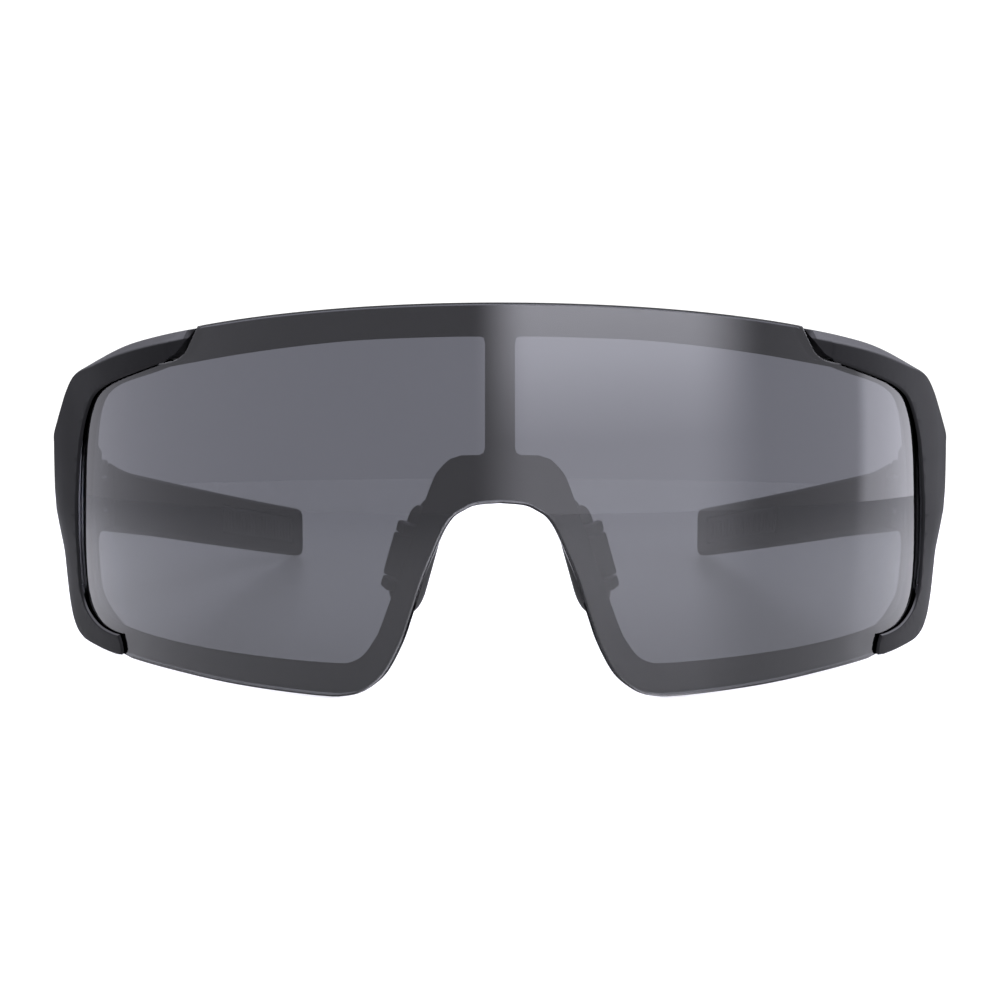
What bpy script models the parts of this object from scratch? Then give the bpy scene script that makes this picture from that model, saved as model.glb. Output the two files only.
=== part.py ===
"""Wraparound shield sunglasses with one toric lens, two side brackets and folding temples.

The lens is a piece of a vertical barrel: a circle in plan and a flatter arc in height.
Everything that follows the lens is drawn flat, in its chart, and then wrapped on it:
s runs along the front from the middle, v is the height above the lens's centre, and n
stands out from its front face. Lengths are millimetres and become metres when wrapped.
The front faces -Y, +X is the wearer's left, and the glasses stand on z = 0.
"""

import math

import bmesh
import bpy
from mathutils import Matrix, Vector

MM = 0.001

# Overall
DEPTH = 160.0  # from the lens's front to the temple tips
LENS_CENTRE_Z = 28.3  # height of the lens's centre over the floor

# Lens
LENS_RADIUS = 78.0
BARREL_RADIUS = 260.0
LENS_THICK = 2.0
LENS_TOP = 26.6
TOP_CROWN_RADIUS = 365.0
GRID_STEP = 5.0  # width of the columns that bend round the lens
ROW_STEP = 9.0  # and height of the rows that bend over its barrel

# Layers behind and before the lens
PRINT_FRONT = -LENS_THICK - 0.3
PRINT_THICK = 0.3
GROOVE_FRONT = 0.25
GROOVE_BACK = PRINT_FRONT - PRINT_THICK - 0.3

# Side bracket
TURN_START = 84.0  # where the bracket leaves the lens's circle
TURN_RADIUS = 22.0  # and turns straight back
LIP_FRONT = 0.65
BRACKET_BACK = -4.7
CHAMFER_BACK = -1.4
REAR_LAND = 0.5  # depth of the plate behind the lens before its bevel starts
REAR_OPEN_NEAR, REAR_OPEN_FAR = 0.9, 5.0  # how far the bevel moves the rear lip outwards
REAR_OPEN_LOW, REAR_OPEN_HIGH = (-23.0, -17.0), (13.0, 17.0)  # heights where it fades out
GROOVE_DEPTH_CLEARANCE = 0.35
GASKET_THICK = 0.65
GASKET_LAYER = (-0.1, -1.9)  # its front and back, counted from the lens's front
GASKET_REACH = (-18.0, 9.0)  # its lower and upper end
GASKET_GAP = 0.3
BOSS_SWELL = 2.15  # extra thickness of the bracket towards its hinge
SWELL_START, SWELL_END = 74.0, 97.0
BOSS_MIDDLE = 1.0  # height of the thickest line
BOSS_BAND = (5.0, 15.0)  # heights beside it between which the thickness falls
BOSS_FALL = 0.6  # share of the swelling that is lost above and below the band
BOSS_JOIN = 91.0  # where the whole height starts to thicken again to meet the hinge
DIP_START = 52.6  # where the upper finger's end begins to dive behind the lens
DIP_SLOPE = 0.45

# Hinge, about a vertical axis
HINGE_X = 69.2
HINGE_Y = 56.0  # behind the lens's front
HINGE_Z = 24.1
KNUCKLE_RADIUS = 2.6
TONGUE_HALF = 2.4
WASHER_THICK = 0.4
STACK_GAP = 0.25
LUG_TOP = 5.6
SCREW_RADIUS = 0.7
SCREW_HEAD_RADIUS = 1.5
SCREW_HEAD_TALL = 0.9
BUSH_RADIUS = 1.6
BORE_CLEARANCE = 0.3
HINGE_CLEARANCE = 0.5  # between a knuckle and the wall behind it
SEAM = 0.15  # half the gap between bracket and temple
COVER_THICK = 2.0  # outer skin that runs over the hinge
COVER_REACH = 4.2  # how far the temple's skin reaches behind the axis
COVER_EDGE = 0.9  # its chamfer
LUG_FLOOR = 0.8  # left under the screw's bore

# Temple
ROOT_THICK = 7.5
ARM_THICK = 3.4
THIN_DOWN = 30.0  # length over which the root thins to the arm
ARM_CORNER = 1.3
ARM_TOP_Z = 28.664  # height of the top edge's slope at the hinge
ARM_SLOPE = 0.172
FLARE_END = 70.0
FLARE_RISE = 1.6
ARM_BOTTOM_Z = 19.3
ARM_BOTTOM_START = 50.0
ARM_TOE_IN = 0.13  # how the inner face closes in on the head
ARM_CURL = 0.0006
TIP_ROUND = 2.0
GRIP_START, GRIP_END = 56.0, 97.0
GRIP_HEIGHT = 5.6
GRIP_POCKET = 1.1
GRIP_PROUD = 0.35
FIT_GAP = 0.3

# Nose piece
BRIDGE_FRONT = GROOVE_BACK
BRIDGE_BACK = -4.9
PAD_LENGTH = 16.6
PAD_WIDTH = 9.0
PAD_THICK = 2.0
CORE_THICK = 1.2
PIN_RADIUS = 0.6
SLEEVE_RADIUS = 1.4
SLEEVE_HALF = 3.0
EAR_RADIUS = 1.3
EAR_TALL = 1.4


def clear_scene():
    for item in list(bpy.data.objects):
        bpy.data.objects.remove(item, do_unlink=True)


# ---------------------------------------------------------------- materials


def material(name, colour, roughness, metallic=0.0, alpha=1.0):
    made = bpy.data.materials.new(name)
    made.use_nodes = True
    shader = made.node_tree.nodes["Principled BSDF"]
    shader.inputs["Base Color"].default_value = (*colour, 1.0)
    shader.inputs["Roughness"].default_value = roughness
    shader.inputs["Metallic"].default_value = metallic
    shader.inputs["Alpha"].default_value = alpha
    return made


def finishes():
    return {
        "lens": material("smoke_lens", (0.07, 0.07, 0.08), 0.05, 0.0, 0.75),
        "print": material("black_print", (0.02, 0.02, 0.022), 0.30),
        "frame": material("black_frame", (0.035, 0.035, 0.038), 0.42),
        "rubber": material("black_rubber", (0.015, 0.015, 0.015), 0.80),
        "inner": material("black_core", (0.03, 0.03, 0.03), 0.55),
        "steel": material("steel", (0.62, 0.62, 0.64), 0.25, 1.0),
        "brass": material("brass", (0.72, 0.53, 0.25), 0.30, 1.0),
    }


# ---------------------------------------------------------------- chart


def plan(s):
    """Point and heading of the front's plan curve, a distance s from the middle."""
    along = min(s, TURN_START)
    heading = along / LENS_RADIUS
    x = LENS_RADIUS * math.sin(heading)
    y = LENS_RADIUS * (1.0 - math.cos(heading))
    rest = s - along
    turn = min(rest / TURN_RADIUS, math.pi / 2 - heading)
    x += TURN_RADIUS * (math.sin(heading + turn) - math.sin(heading))
    y += TURN_RADIUS * (math.cos(heading) - math.cos(heading + turn))
    y += rest - turn * TURN_RADIUS
    return x, y, heading + turn


def wrap(s, v, n):
    """A point of the chart, in space."""
    x, y, heading = plan(abs(s))
    out = n - v * v / (2.0 * BARREL_RADIUS)
    x += out * math.sin(heading)
    y -= out * math.cos(heading)
    return Vector((math.copysign(x, s), y - DEPTH / 2, v + LENS_CENTRE_Z)) * MM


def behind_front(x, y, z):
    """A point given by its distance behind the lens's front, in space."""
    return Vector((x, y - DEPTH / 2, z)) * MM


def arc(centre, radius, start, end, steps):
    """Points on an arc, from one angle to another, in degrees."""
    return [
        (
            centre[0] + radius * math.cos(math.radians(start + (end - start) * k / steps)),
            centre[1] + radius * math.sin(math.radians(start + (end - start) * k / steps)),
        )
        for k in range(steps + 1)
    ]


def smooth(points, per_span=4):
    """A curve through the points, as a list of points (Catmull-Rom)."""
    ends = [points[0]] + list(points) + [points[-1]]
    line = []
    for a, b, c, d in zip(ends, ends[1:], ends[2:], ends[3:]):
        for k in range(per_span):
            t = k / per_span
            line.append(
                tuple(
                    0.5
                    * (
                        2 * q
                        + (r - p) * t
                        + (2 * p - 5 * q + 4 * r - w) * t * t
                        + (3 * q - p - 3 * r + w) * t * t * t
                    )
                    for p, q, r, w in zip(a, b, c, d)
                )
            )
    line.append(tuple(points[-1]))
    return line


def top_edge(s):
    return LENS_TOP - s * s / (2.0 * TOP_CROWN_RADIUS)


# ---------------------------------------------------------------- meshes


def make_object(name, mesh_or_bm, finish=None):
    mesh = mesh_or_bm
    if isinstance(mesh_or_bm, bmesh.types.BMesh):
        mesh = bpy.data.meshes.new(name)
        mesh_or_bm.to_mesh(mesh)
        mesh_or_bm.free()
    made = bpy.data.objects.new(name, mesh)
    bpy.context.collection.objects.link(made)
    if finish:
        mesh.materials.clear()
        mesh.materials.append(finish)
    return made


def loft(rings):
    """A closed body through rings of points, with flat ends."""
    bm = bmesh.new()
    rows = [[bm.verts.new(p) for p in ring] for ring in rings]
    count = len(rows[0])
    for low, high in zip(rows, rows[1:]):
        for k in range(count):
            bm.faces.new((low[k], low[(k + 1) % count], high[(k + 1) % count], high[k]))
    bm.faces.new(rows[0])
    bm.faces.new(rows[-1])
    bmesh.ops.recalc_face_normals(bm, faces=bm.faces)
    return bm


def flat_slab(outline, front, back):
    """A slab of the chart: s along X, n against Y, v along Z."""
    return loft([[(s, -n, v) for s, v in outline] for n in (front, back)])


def combined(name, base, steps):
    """The first mesh with others joined to it or cut from it, as one mesh."""
    work = make_object(name + "_work", base)
    others = []
    for kind, other in steps:
        tool = make_object(name + "_tool", other)
        tool.hide_render = True
        tool.display_type = "WIRE"
        cut = work.modifiers.new("Boolean", "BOOLEAN")
        cut.operation = kind
        cut.solver = "EXACT"
        cut.object = tool
        others.append(tool)
    bpy.context.view_layer.update()
    graph = bpy.context.evaluated_depsgraph_get()
    mesh = bpy.data.meshes.new_from_object(work.evaluated_get(graph))
    for item in [work] + others:
        bpy.data.objects.remove(item, do_unlink=True)
    return mesh


def sliced(bm, axis, step, low, high):
    """Cuts a mesh into strips across one axis, so that it can bend."""
    normal = Vector((0, 0, 0))
    normal[axis] = 1.0
    for k in range(math.ceil(low / step), math.floor(high / step) + 1):
        bmesh.ops.bisect_plane(
            bm,
            geom=bm.verts[:] + bm.edges[:] + bm.faces[:],
            dist=1e-5,
            plane_co=normal * (k * step),
            plane_no=normal,
        )


def wrapped(source, change=None, step=GRID_STEP):
    """A flat mesh of the chart, cut into columns and wrapped on the lens."""
    bm = source
    if not isinstance(source, bmesh.types.BMesh):
        bm = bmesh.new()
        bm.from_mesh(source)
    for axis, width in ((0, step), (2, ROW_STEP)):
        reach = [vert.co[axis] for vert in bm.verts]
        sliced(bm, axis, width, min(reach), max(reach))
    bmesh.ops.triangulate(bm, faces=bm.faces)
    for vert in bm.verts:
        s, n, v = vert.co.x, -vert.co.y, vert.co.z
        if change:
            n = change(s, v, n)
        vert.co = wrap(s, v, n)
    bmesh.ops.recalc_face_normals(bm, faces=bm.faces)
    return bm


def reflect(source):
    """The same body on the other side of the middle."""
    bm = bmesh.new()
    bm.from_mesh(source)
    bmesh.ops.transform(bm, matrix=Matrix.Scale(-1, 4, (1, 0, 0)), verts=bm.verts)
    bmesh.ops.reverse_faces(bm, faces=bm.faces)
    mesh = bpy.data.meshes.new(source.name + "_mirror")
    bm.to_mesh(mesh)
    bm.free()
    return mesh


def both_sides(name, mesh, finish, origin=None):
    """A left and a right object from the left one's mesh, with their origins on an axis."""
    for side, sign in (("left", 1), ("right", -1)):
        copy = mesh.copy() if sign > 0 else reflect(mesh)
        made = make_object(f"{name}_{side}", copy, finish)
        if origin:
            place = Vector((origin[0] * sign, origin[1], origin[2]))
            copy.transform(Matrix.Translation(-place))
            made.location = place


def as_mesh(bm):
    mesh = bpy.data.meshes.new("body")
    bm.to_mesh(mesh)
    bm.free()
    return mesh


def turned(centre, axis, profile, sides=20):
    """A solid of revolution about an axis, through (radius, height) points."""
    turn = axis.normalized().to_track_quat("Z", "Y").to_matrix()
    rings = []
    for radius, height in profile:
        ring = []
        for k in range(sides):
            angle = 2.0 * math.pi * k / sides
            spot = Vector((radius * math.cos(angle), radius * math.sin(angle), height))
            ring.append(centre + turn @ spot * MM)
        rings.append(ring)
    return rings


def bar(centre, axis, profile, sides=20):
    return loft(turned(centre, axis, profile, sides))


def sleeve(centre, axis, outer, inner, half, sides=20):
    """A round tube with a through hole, half its length to each side of a centre."""
    profile = [(outer, -half), (outer, half), (inner, half), (inner, -half)]
    bm = bmesh.new()
    rows = [[bm.verts.new(p) for p in ring] for ring in turned(centre, axis, profile, sides)]
    for low, high in zip(rows, rows[1:] + rows[:1]):
        for k in range(sides):
            j = (k + 1) % sides
            bm.faces.new((low[k], low[j], high[j], high[k]))
    bmesh.ops.recalc_face_normals(bm, faces=bm.faces)
    return bm


def block(low, high, frame=None):
    """A box between two corners, in millimetres, in space or in a frame."""
    frame = frame or Matrix.Identity(4)
    ring = [(low[0], low[1]), (high[0], low[1]), (high[0], high[1]), (low[0], high[1])]
    return loft([[frame @ (Vector((x, y, z)) * MM) for x, y in ring] for z in (low[2], high[2])])


# ---------------------------------------------------------------- lens


def nose_edge():
    """The nose cut, from the middle of its arch to the foot of the lobe."""
    arch = [(0.0, -0.5), (3.3, -0.8), (5.1, -1.6), (6.4, -2.5)]
    leg = [(7.6, -4.2), (9.0, -7.2), (10.7, -11.2), (12.4, -16.2), (13.9, -20.2)]
    lobe = [(16.2, -24.3), (18.5, -26.5), (20.8, -27.7), (23.6, -28.25)]
    return smooth(arch + leg + lobe, 2)


def bottom_edge():
    return smooth([(23.6, -28.25), (27.0, -28.3), (40.7, -27.9), (53.1, -27.3), (64.8, -26.95)], 3)


def lens_end():
    """The edge that the bracket hides, from the lower finger round to the notch."""
    foot = [(67.4, -26.6), (68.5, -25.1)]
    end = [(72.5, -24.9), (76.6, -24.2), (80.2, -22.6), (81.9, -20.2), (82.4, -16.0)]
    side = [(82.3, -11.0), (81.8, -7.0), (80.8, -1.0), (79.6, 5.0), (78.3, 8.5), (76.6, 11.4)]
    tab = [(74.6, 13.6), (72.0, 15.3), (68.3, 16.6), (64.3, 17.4), (60.0, 18.0), (56.5, 18.4)]
    tab.append((53.6, 18.35))
    return foot + smooth(end + side + tab, 2)


def notch_edge():
    return smooth([(53.6, 18.35), (51.0, 18.85), (49.3, 19.8), (48.4, 20.9), (46.7, 23.6)], 2)


def crown_edge(count=12):
    """The top edge, from the notch to the middle."""
    return [(46.7 * (1 - k / count), top_edge(46.7 * (1 - k / count))) for k in range(count + 1)]


def lens_outline():
    half = nose_edge() + bottom_edge()[1:] + lens_end() + notch_edge()[1:] + crown_edge()[1:]
    return half + [(-s, v) for s, v in reversed(half[1:-1])]


def lens():
    return wrapped(flat_slab(lens_outline(), 0.0, -LENS_THICK))


def window_outline():
    """The clear window of one side, inside the printed border."""
    bar = [(2.1, 21.4), (2.1, 6.6), (2.5, 6.05), (6.0, 5.9)]
    nose = [(8.3, 4.2), (9.6, 2.1), (12.2, -5.0), (17.0, -17.5)]
    foot = [(18.5, -20.3), (19.9, -22.1), (21.7, -23.2), (24.5, -23.6)]
    low = [(36.0, -23.5), (48.5, -23.2), (60.6, -22.7), (69.0, -22.1)]
    end = [(73.6, -21.4), (76.4, -19.9), (78.3, -17.8), (78.9, -15.0), (78.6, -10.8)]
    end += [(77.7, -5.9), (76.6, -0.9), (75.8, 3.3), (74.9, 7.6), (73.8, 10.6)]
    top = [(72.0, 12.8), (68.6, 14.4), (63.5, 15.8), (56.0, 17.3), (48.0, 18.4), (39.8, 19.5)]
    top.append((29.2, 20.7))
    return bar + smooth(nose + foot + low + end + top + [(19.5, 21.5), (2.8, 21.9)], 2)


def inset(points, distance):
    """A closed outline moved inwards, by its corners' bisectors."""
    count = len(points)
    area = sum(
        points[k - 1][0] * points[k][1] - points[k][0] * points[k - 1][1] for k in range(count)
    )
    turn = 1.0 if area > 0 else -1.0
    moved = []
    for k in range(count):
        here = Vector(points[k])
        before = (here - Vector(points[k - 1])).normalized()
        after = (Vector(points[(k + 1) % count]) - here).normalized()
        side = Vector((-(before + after).y, (before + after).x)).normalized() * turn
        reach = min(1.5, 1.0 / max(0.3, side.dot(Vector((-after.y, after.x)) * turn)))
        moved.append(tuple(here + side * distance * reach))
    return moved


def printed_border():
    border = flat_slab(inset(lens_outline(), 0.35), PRINT_FRONT, PRINT_FRONT - PRINT_THICK)
    through = (PRINT_FRONT + 1.0, PRINT_FRONT - PRINT_THICK - 1.0)
    left = flat_slab(window_outline(), *through)
    right = flat_slab([(-s, v) for s, v in window_outline()], *through)
    return wrapped(combined("border", border, [("DIFFERENCE", left), ("DIFFERENCE", right)]))


# ---------------------------------------------------------------- side bracket


def hinge_station():
    """Distance along the plan curve at which it passes the hinge."""
    heading = TURN_START / LENS_RADIUS
    turn = math.pi / 2 - heading
    y_end = plan(TURN_START + TURN_RADIUS * turn)[1]
    return TURN_START + TURN_RADIUS * turn + HINGE_Y - y_end


def bracket_lip():
    top = [(45.0, 20.2), (52.6, 18.5), (58.6, 17.1), (63.6, 16.0), (67.6, 15.0), (70.8, 13.9)]
    side = [(73.1, 12.6), (75.0, 10.5), (76.6, 7.7), (77.9, 3.6), (78.8, -1.0), (79.7, -6.0)]
    low = [(80.3, -10.9), (80.7, -16.0), (80.3, -18.6), (78.9, -20.6), (76.6, -22.0), (73.8, -22.9)]
    tip = [(66.35, -24.7), (66.25, -26.0), (66.9, -26.6)]
    return smooth(top + side + low + [(71.0, -23.3), (68.6, -23.45), (66.9, -23.4)], 2) + tip


def bracket_skirt(station):
    """The lower and rear edge, from the lower finger to the hinge."""
    low = [(68.6, -26.75), (73.5, -26.65), (79.5, -26.35), (82.0, -26.0), (84.5, -25.0)]
    rear = [(86.8, -22.8), (88.2, -19.3), (88.8, -15.5), (90.2, -12.4), (92.8, -10.8)]
    rear.append((96.0, -10.2))
    return smooth(low + rear + [(station, -10.1)], 2)


def bracket_crest(station, chamfered):
    """The top edge, from the hinge to the upper finger, before or behind its chamfer."""
    behind = [(station, 1.9), (95.2, 4.0), (91.5, 6.7), (88.6, 8.9), (86.9, 11.3), (85.0, 14.2)]
    behind += [(82.4, 16.5), (79.2, 17.8), (74.0, 19.0), (65.4, 20.9), (57.0, 22.2), (50.0, 23.1)]
    front = [(station, 1.2), (95.0, 3.3), (91.3, 6.0), (88.4, 8.1), (86.6, 10.5), (84.6, 13.4)]
    front += [(82.0, 15.6), (78.6, 16.8), (73.0, 17.7), (64.6, 19.4), (56.7, 20.7), (49.8, 21.6)]
    behind.append((45.0, 23.6))
    front.append((45.0, 22.2))
    return smooth(front if chamfered else behind, 2)


def gasket_strip(gap, thick, longer=0.0):
    """A strip beside the lens's end, a gap outside its edge, and longer at its two ends."""
    low, high = GASKET_REACH
    near = [p for p in inset(lens_outline(), -gap) if p[0] > HINGE_X and low < p[1] < high]
    if longer:
        first, last = Vector(near[0]), Vector(near[-1])
        near.insert(0, tuple(first + (first - Vector(near[1])).normalized() * longer))
        near.append(tuple(last + (last - Vector(near[-2])).normalized() * longer))
    return [(s + thick, v) for s, v in near] + list(reversed(near))


def opened(lip, reach):
    """The lip moved outwards beside the window, so that its rear stays out of the view."""
    low, high = REAR_OPEN_LOW, REAR_OPEN_HIGH
    return [(s + reach * ramp(*low, v) * (1.0 - ramp(*high, v)), v) for s, v in lip]


def bracket_body():
    station = hinge_station() - SEAM
    levels = (
        (LIP_FRONT, True, 0.0),
        (CHAMFER_BACK, False, 0.0),
        (GROOVE_BACK - REAR_LAND, False, REAR_OPEN_NEAR),
        (BRACKET_BACK, False, REAR_OPEN_FAR),
    )
    rings = []
    for n, chamfered, reach in levels:
        edge = opened(bracket_lip(), reach) + bracket_skirt(station)
        edge += bracket_crest(station, chamfered)
        rings.append([(s, -n, v) for s, v in edge])
    groove = inset(lens_outline(), -GROOVE_DEPTH_CLEARANCE)
    pocket = gasket_strip(0.0, GASKET_GAP + GASKET_THICK + FIT_GAP, 0.5)
    finger = [(40.0, 15.0), (52.6, 15.0), (52.6, 18.5), (50.9, 19.6), (49.9, 20.9)]
    finger += [(49.0, 22.2), (48.2, 23.4), (47.8, 26.0), (40.0, 26.0)]
    room_start = station + SEAM - KNUCKLE_RADIUS - HINGE_CLEARANCE
    room = [(room_start, -14.0), (station + 4.0, -14.0), (station + 4.0, 6.0), (room_start, 6.0)]
    cover_back = LIP_FRONT + BOSS_SWELL - COVER_THICK
    cuts = [
        ("DIFFERENCE", flat_slab(groove, GROOVE_FRONT, GROOVE_BACK)),
        ("DIFFERENCE", flat_slab(pocket, GASKET_LAYER[0] + FIT_GAP, GASKET_LAYER[1] - FIT_GAP)),
        ("DIFFERENCE", flat_slab(finger, LIP_FRONT + 2.0, GROOVE_BACK)),
        ("DIFFERENCE", flat_slab(room, cover_back, BRACKET_BACK - 2.0)),
    ]
    return combined("bracket", loft(rings), cuts)


def ramp(low, high, value):
    t = min(1.0, max(0.0, (value - low) / (high - low)))
    return t * t * (3.0 - 2.0 * t)


def bracket_swell(s, v, n):
    """The front face grows thicker towards the hinge, and dips at the upper finger's end."""
    if n < LIP_FRONT - 0.2:
        return n
    beside = 1.0 - BOSS_FALL * ramp(*BOSS_BAND, abs(v - BOSS_MIDDLE))
    past = (1.0 - beside) * ramp(BOSS_JOIN, SWELL_END, s)
    grown = ramp(SWELL_START, SWELL_END, s) * (beside + past)
    dip = DIP_SLOPE * max(0.0, DIP_START - s)
    return n + BOSS_SWELL * grown - dip


def hinge_lug(low, high):
    """One ear of the bracket, from its body round the hinge axis."""
    centre = behind_front(HINGE_X, HINGE_Y, HINGE_Z)
    ear = bar(centre, Vector((0, 0, 1)), [(KNUCKLE_RADIUS, low), (KNUCKLE_RADIUS, high)])
    root = block(
        (HINGE_X - KNUCKLE_RADIUS, HINGE_Y - DEPTH / 2 - 5.0, HINGE_Z + low),
        (HINGE_X + KNUCKLE_RADIUS, HINGE_Y - DEPTH / 2, HINGE_Z + high),
    )
    return combined("lug", ear, [("UNION", root)])


def bracket(finish):
    centre = behind_front(HINGE_X, HINGE_Y, HINGE_Z)
    up = Vector((0, 0, 1))
    lug_start = TONGUE_HALF + WASHER_THICK + 2.0 * STACK_GAP
    bore = SCREW_RADIUS + BORE_CLEARANCE
    recess = SCREW_HEAD_RADIUS + BORE_CLEARANCE
    recess_floor = LUG_TOP - SCREW_HEAD_TALL - FIT_GAP
    steps = [
        ("UNION", hinge_lug(lug_start, LUG_TOP)),
        ("UNION", hinge_lug(-LUG_TOP, -lug_start)),
        ("DIFFERENCE", bar(centre, up, [(bore, -LUG_TOP + LUG_FLOOR), (bore, LUG_TOP + 1.0)])),
        ("DIFFERENCE", bar(centre, up, [(recess, recess_floor), (recess, LUG_TOP + 1.0)])),
    ]
    body = combined("bracket", wrapped(bracket_body(), bracket_swell), steps)
    both_sides("bracket", body, finish)


def gasket(finish):
    strip = gasket_strip(GASKET_GAP, GASKET_THICK)
    both_sides("lens_gasket", as_mesh(wrapped(flat_slab(strip, *GASKET_LAYER))), finish)


# ---------------------------------------------------------------- hinge


def hinge_hardware(looks):
    axis = Vector((0, 0, 1))
    centre = behind_front(HINGE_X, HINGE_Y, HINGE_Z)
    head_low = LUG_TOP - SCREW_HEAD_TALL
    shaft = [(SCREW_RADIUS, -LUG_TOP + LUG_FLOOR + FIT_GAP), (SCREW_RADIUS, head_low)]
    head = [(SCREW_HEAD_RADIUS, head_low), (SCREW_HEAD_RADIUS, LUG_TOP)]
    both_sides("hinge_screw", as_mesh(bar(centre, axis, shaft + head)), looks["steel"])
    inner = SCREW_RADIUS + BORE_CLEARANCE
    bush = sleeve(centre, axis, BUSH_RADIUS, inner, TONGUE_HALF)
    both_sides("hinge_bush", as_mesh(bush), looks["brass"])
    for level, sign in (("upper", 1), ("lower", -1)):
        lift = sign * (TONGUE_HALF + STACK_GAP + WASHER_THICK / 2)
        spot = centre + Vector((0, 0, lift)) * MM
        washer = sleeve(spot, axis, KNUCKLE_RADIUS - 0.2, inner, WASHER_THICK / 2)
        both_sides(f"hinge_washer_{level}", as_mesh(washer), looks["steel"])


# ---------------------------------------------------------------- temple


def arm_top(y):
    """A straight slope, which flares up to meet the bracket."""
    flare = max(0.0, (FLARE_END - y) / (FLARE_END - HINGE_Y))
    return ARM_TOP_Z - ARM_SLOPE * (y - HINGE_Y) + FLARE_RISE * flare * flare


def arm_bottom(y):
    """Falls straight to the floor, which it meets just before the tip."""
    return ARM_BOTTOM_Z * (DEPTH - TIP_ROUND - y) / (DEPTH - TIP_ROUND - ARM_BOTTOM_START)


def arm_inner(y):
    """Distance of the inner face from the middle: it closes in on the head."""
    back = y - HINGE_Y
    return HINGE_X - KNUCKLE_RADIUS - ARM_TOE_IN * back - ARM_CURL * back * back


def arm_thick(y):
    return ARM_THICK + (ROOT_THICK - ARM_THICK) * (1.0 - ramp(0.0, THIN_DOWN, y - HINGE_Y))


def rounded_section(y, x_low, x_high, z_low, z_high, radius, steps=3):
    ring = []
    corners = [(x_high, z_high, 0), (x_low, z_high, 90), (x_low, z_low, 180), (x_high, z_low, 270)]
    for x, z, start in corners:
        cx = x - math.copysign(radius, x - (x_low + x_high) / 2)
        cz = z - math.copysign(radius, z - (z_low + z_high) / 2)
        ring += [behind_front(px, y, pz) for px, pz in arc((cx, cz), radius, start, start + 90, steps)]
    return ring


def temple_body():
    start = HINGE_Y + KNUCKLE_RADIUS + HINGE_CLEARANCE
    stations = [start] + [HINGE_Y + d for d in (7, 12, 17, 23, 30, 42, 56, 70, 84, 95)]
    stations += [DEPTH - e for e in (TIP_ROUND, 1.1, 0.5, 0.15, 0.0)]
    rings = []
    for y in stations:
        past = max(0.0, TIP_ROUND - (DEPTH - y))
        pull = TIP_ROUND - math.sqrt(max(0.0, TIP_ROUND**2 - past**2))
        inner = arm_inner(y) + 0.4 * pull
        outer = arm_inner(y) + arm_thick(y) - 0.4 * pull
        radius = min(ARM_CORNER, (outer - inner) / 2 - 0.1)
        rings.append(
            rounded_section(y, inner, outer, arm_bottom(y) + pull, arm_top(y) - pull, radius)
        )
    return loft(rings)


def arm_strip(start, end, half, low, high):
    """A strip along the inner face of the arm, between two depths from it."""
    rings = []
    count = 8
    for k in range(count + 1):
        y = HINGE_Y + start + (end - start) * k / count
        middle = (arm_top(y) + arm_bottom(y)) / 2
        corners = [(low, -half), (high, -half), (high, half), (low, half)]
        rings.append([behind_front(arm_inner(y) + x, y, middle + z) for x, z in corners])
    return loft(rings)


def temple(looks):
    centre = behind_front(HINGE_X, HINGE_Y, HINGE_Z)
    up = Vector((0, 0, 1))
    tongue_ring = [(KNUCKLE_RADIUS, -TONGUE_HALF), (KNUCKLE_RADIUS, TONGUE_HALF)]
    hinge_y = HINGE_Y - DEPTH / 2
    root = block(
        (HINGE_X - KNUCKLE_RADIUS + 0.15, hinge_y, HINGE_Z - TONGUE_HALF),
        (HINGE_X + KNUCKLE_RADIUS, hinge_y + 6.0, HINGE_Z + TONGUE_HALF),
    )
    outside = HINGE_X - KNUCKLE_RADIUS + ROOT_THICK
    inside = outside - COVER_THICK
    rings = []
    for y in (HINGE_Y + SEAM, HINGE_Y + COVER_REACH):
        low, high = arm_bottom(y), arm_top(y)
        corners = [(inside, low), (outside, low + COVER_EDGE), (outside, high - COVER_EDGE)]
        corners.append((inside, high))
        rings.append([behind_front(x, y, z) for x, z in corners])
    cover = loft(rings)
    bore = BUSH_RADIUS + BORE_CLEARANCE
    start, end = GRIP_START, GRIP_END
    half = GRIP_HEIGHT / 2
    steps = [
        ("UNION", bar(centre, up, tongue_ring)),
        ("UNION", root),
        ("UNION", cover),
        ("DIFFERENCE", bar(centre, up, [(bore, -TONGUE_HALF - 1), (bore, TONGUE_HALF + 1)])),
        ("DIFFERENCE", arm_strip(start, end, half + FIT_GAP, -1.0, GRIP_POCKET)),
    ]
    both_sides("temple", combined("temple", temple_body(), steps), looks["frame"], centre)
    grip = arm_strip(start + FIT_GAP, end - FIT_GAP, half, -GRIP_PROUD, GRIP_POCKET - FIT_GAP)
    both_sides("temple_grip", as_mesh(grip), looks["rubber"], centre)


# ---------------------------------------------------------------- nose piece


def pad_frame():
    """The left pad's frame: X away from the nose, Y backwards, Z up along the pad."""
    up = Vector((-0.27, 0.0, 0.963)).normalized()
    back = Vector((0.35, 0.937, 0.0))
    back = (back - up * back.dot(up)).normalized()
    away = back.cross(up).normalized()
    frame = Matrix.Identity(4)
    for column, axis in enumerate((away, back, up)):
        frame.col[column].xyz = axis
    frame.translation = behind_front(8.75, 7.1, LENS_CENTRE_Z - 9.8)
    return frame


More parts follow.
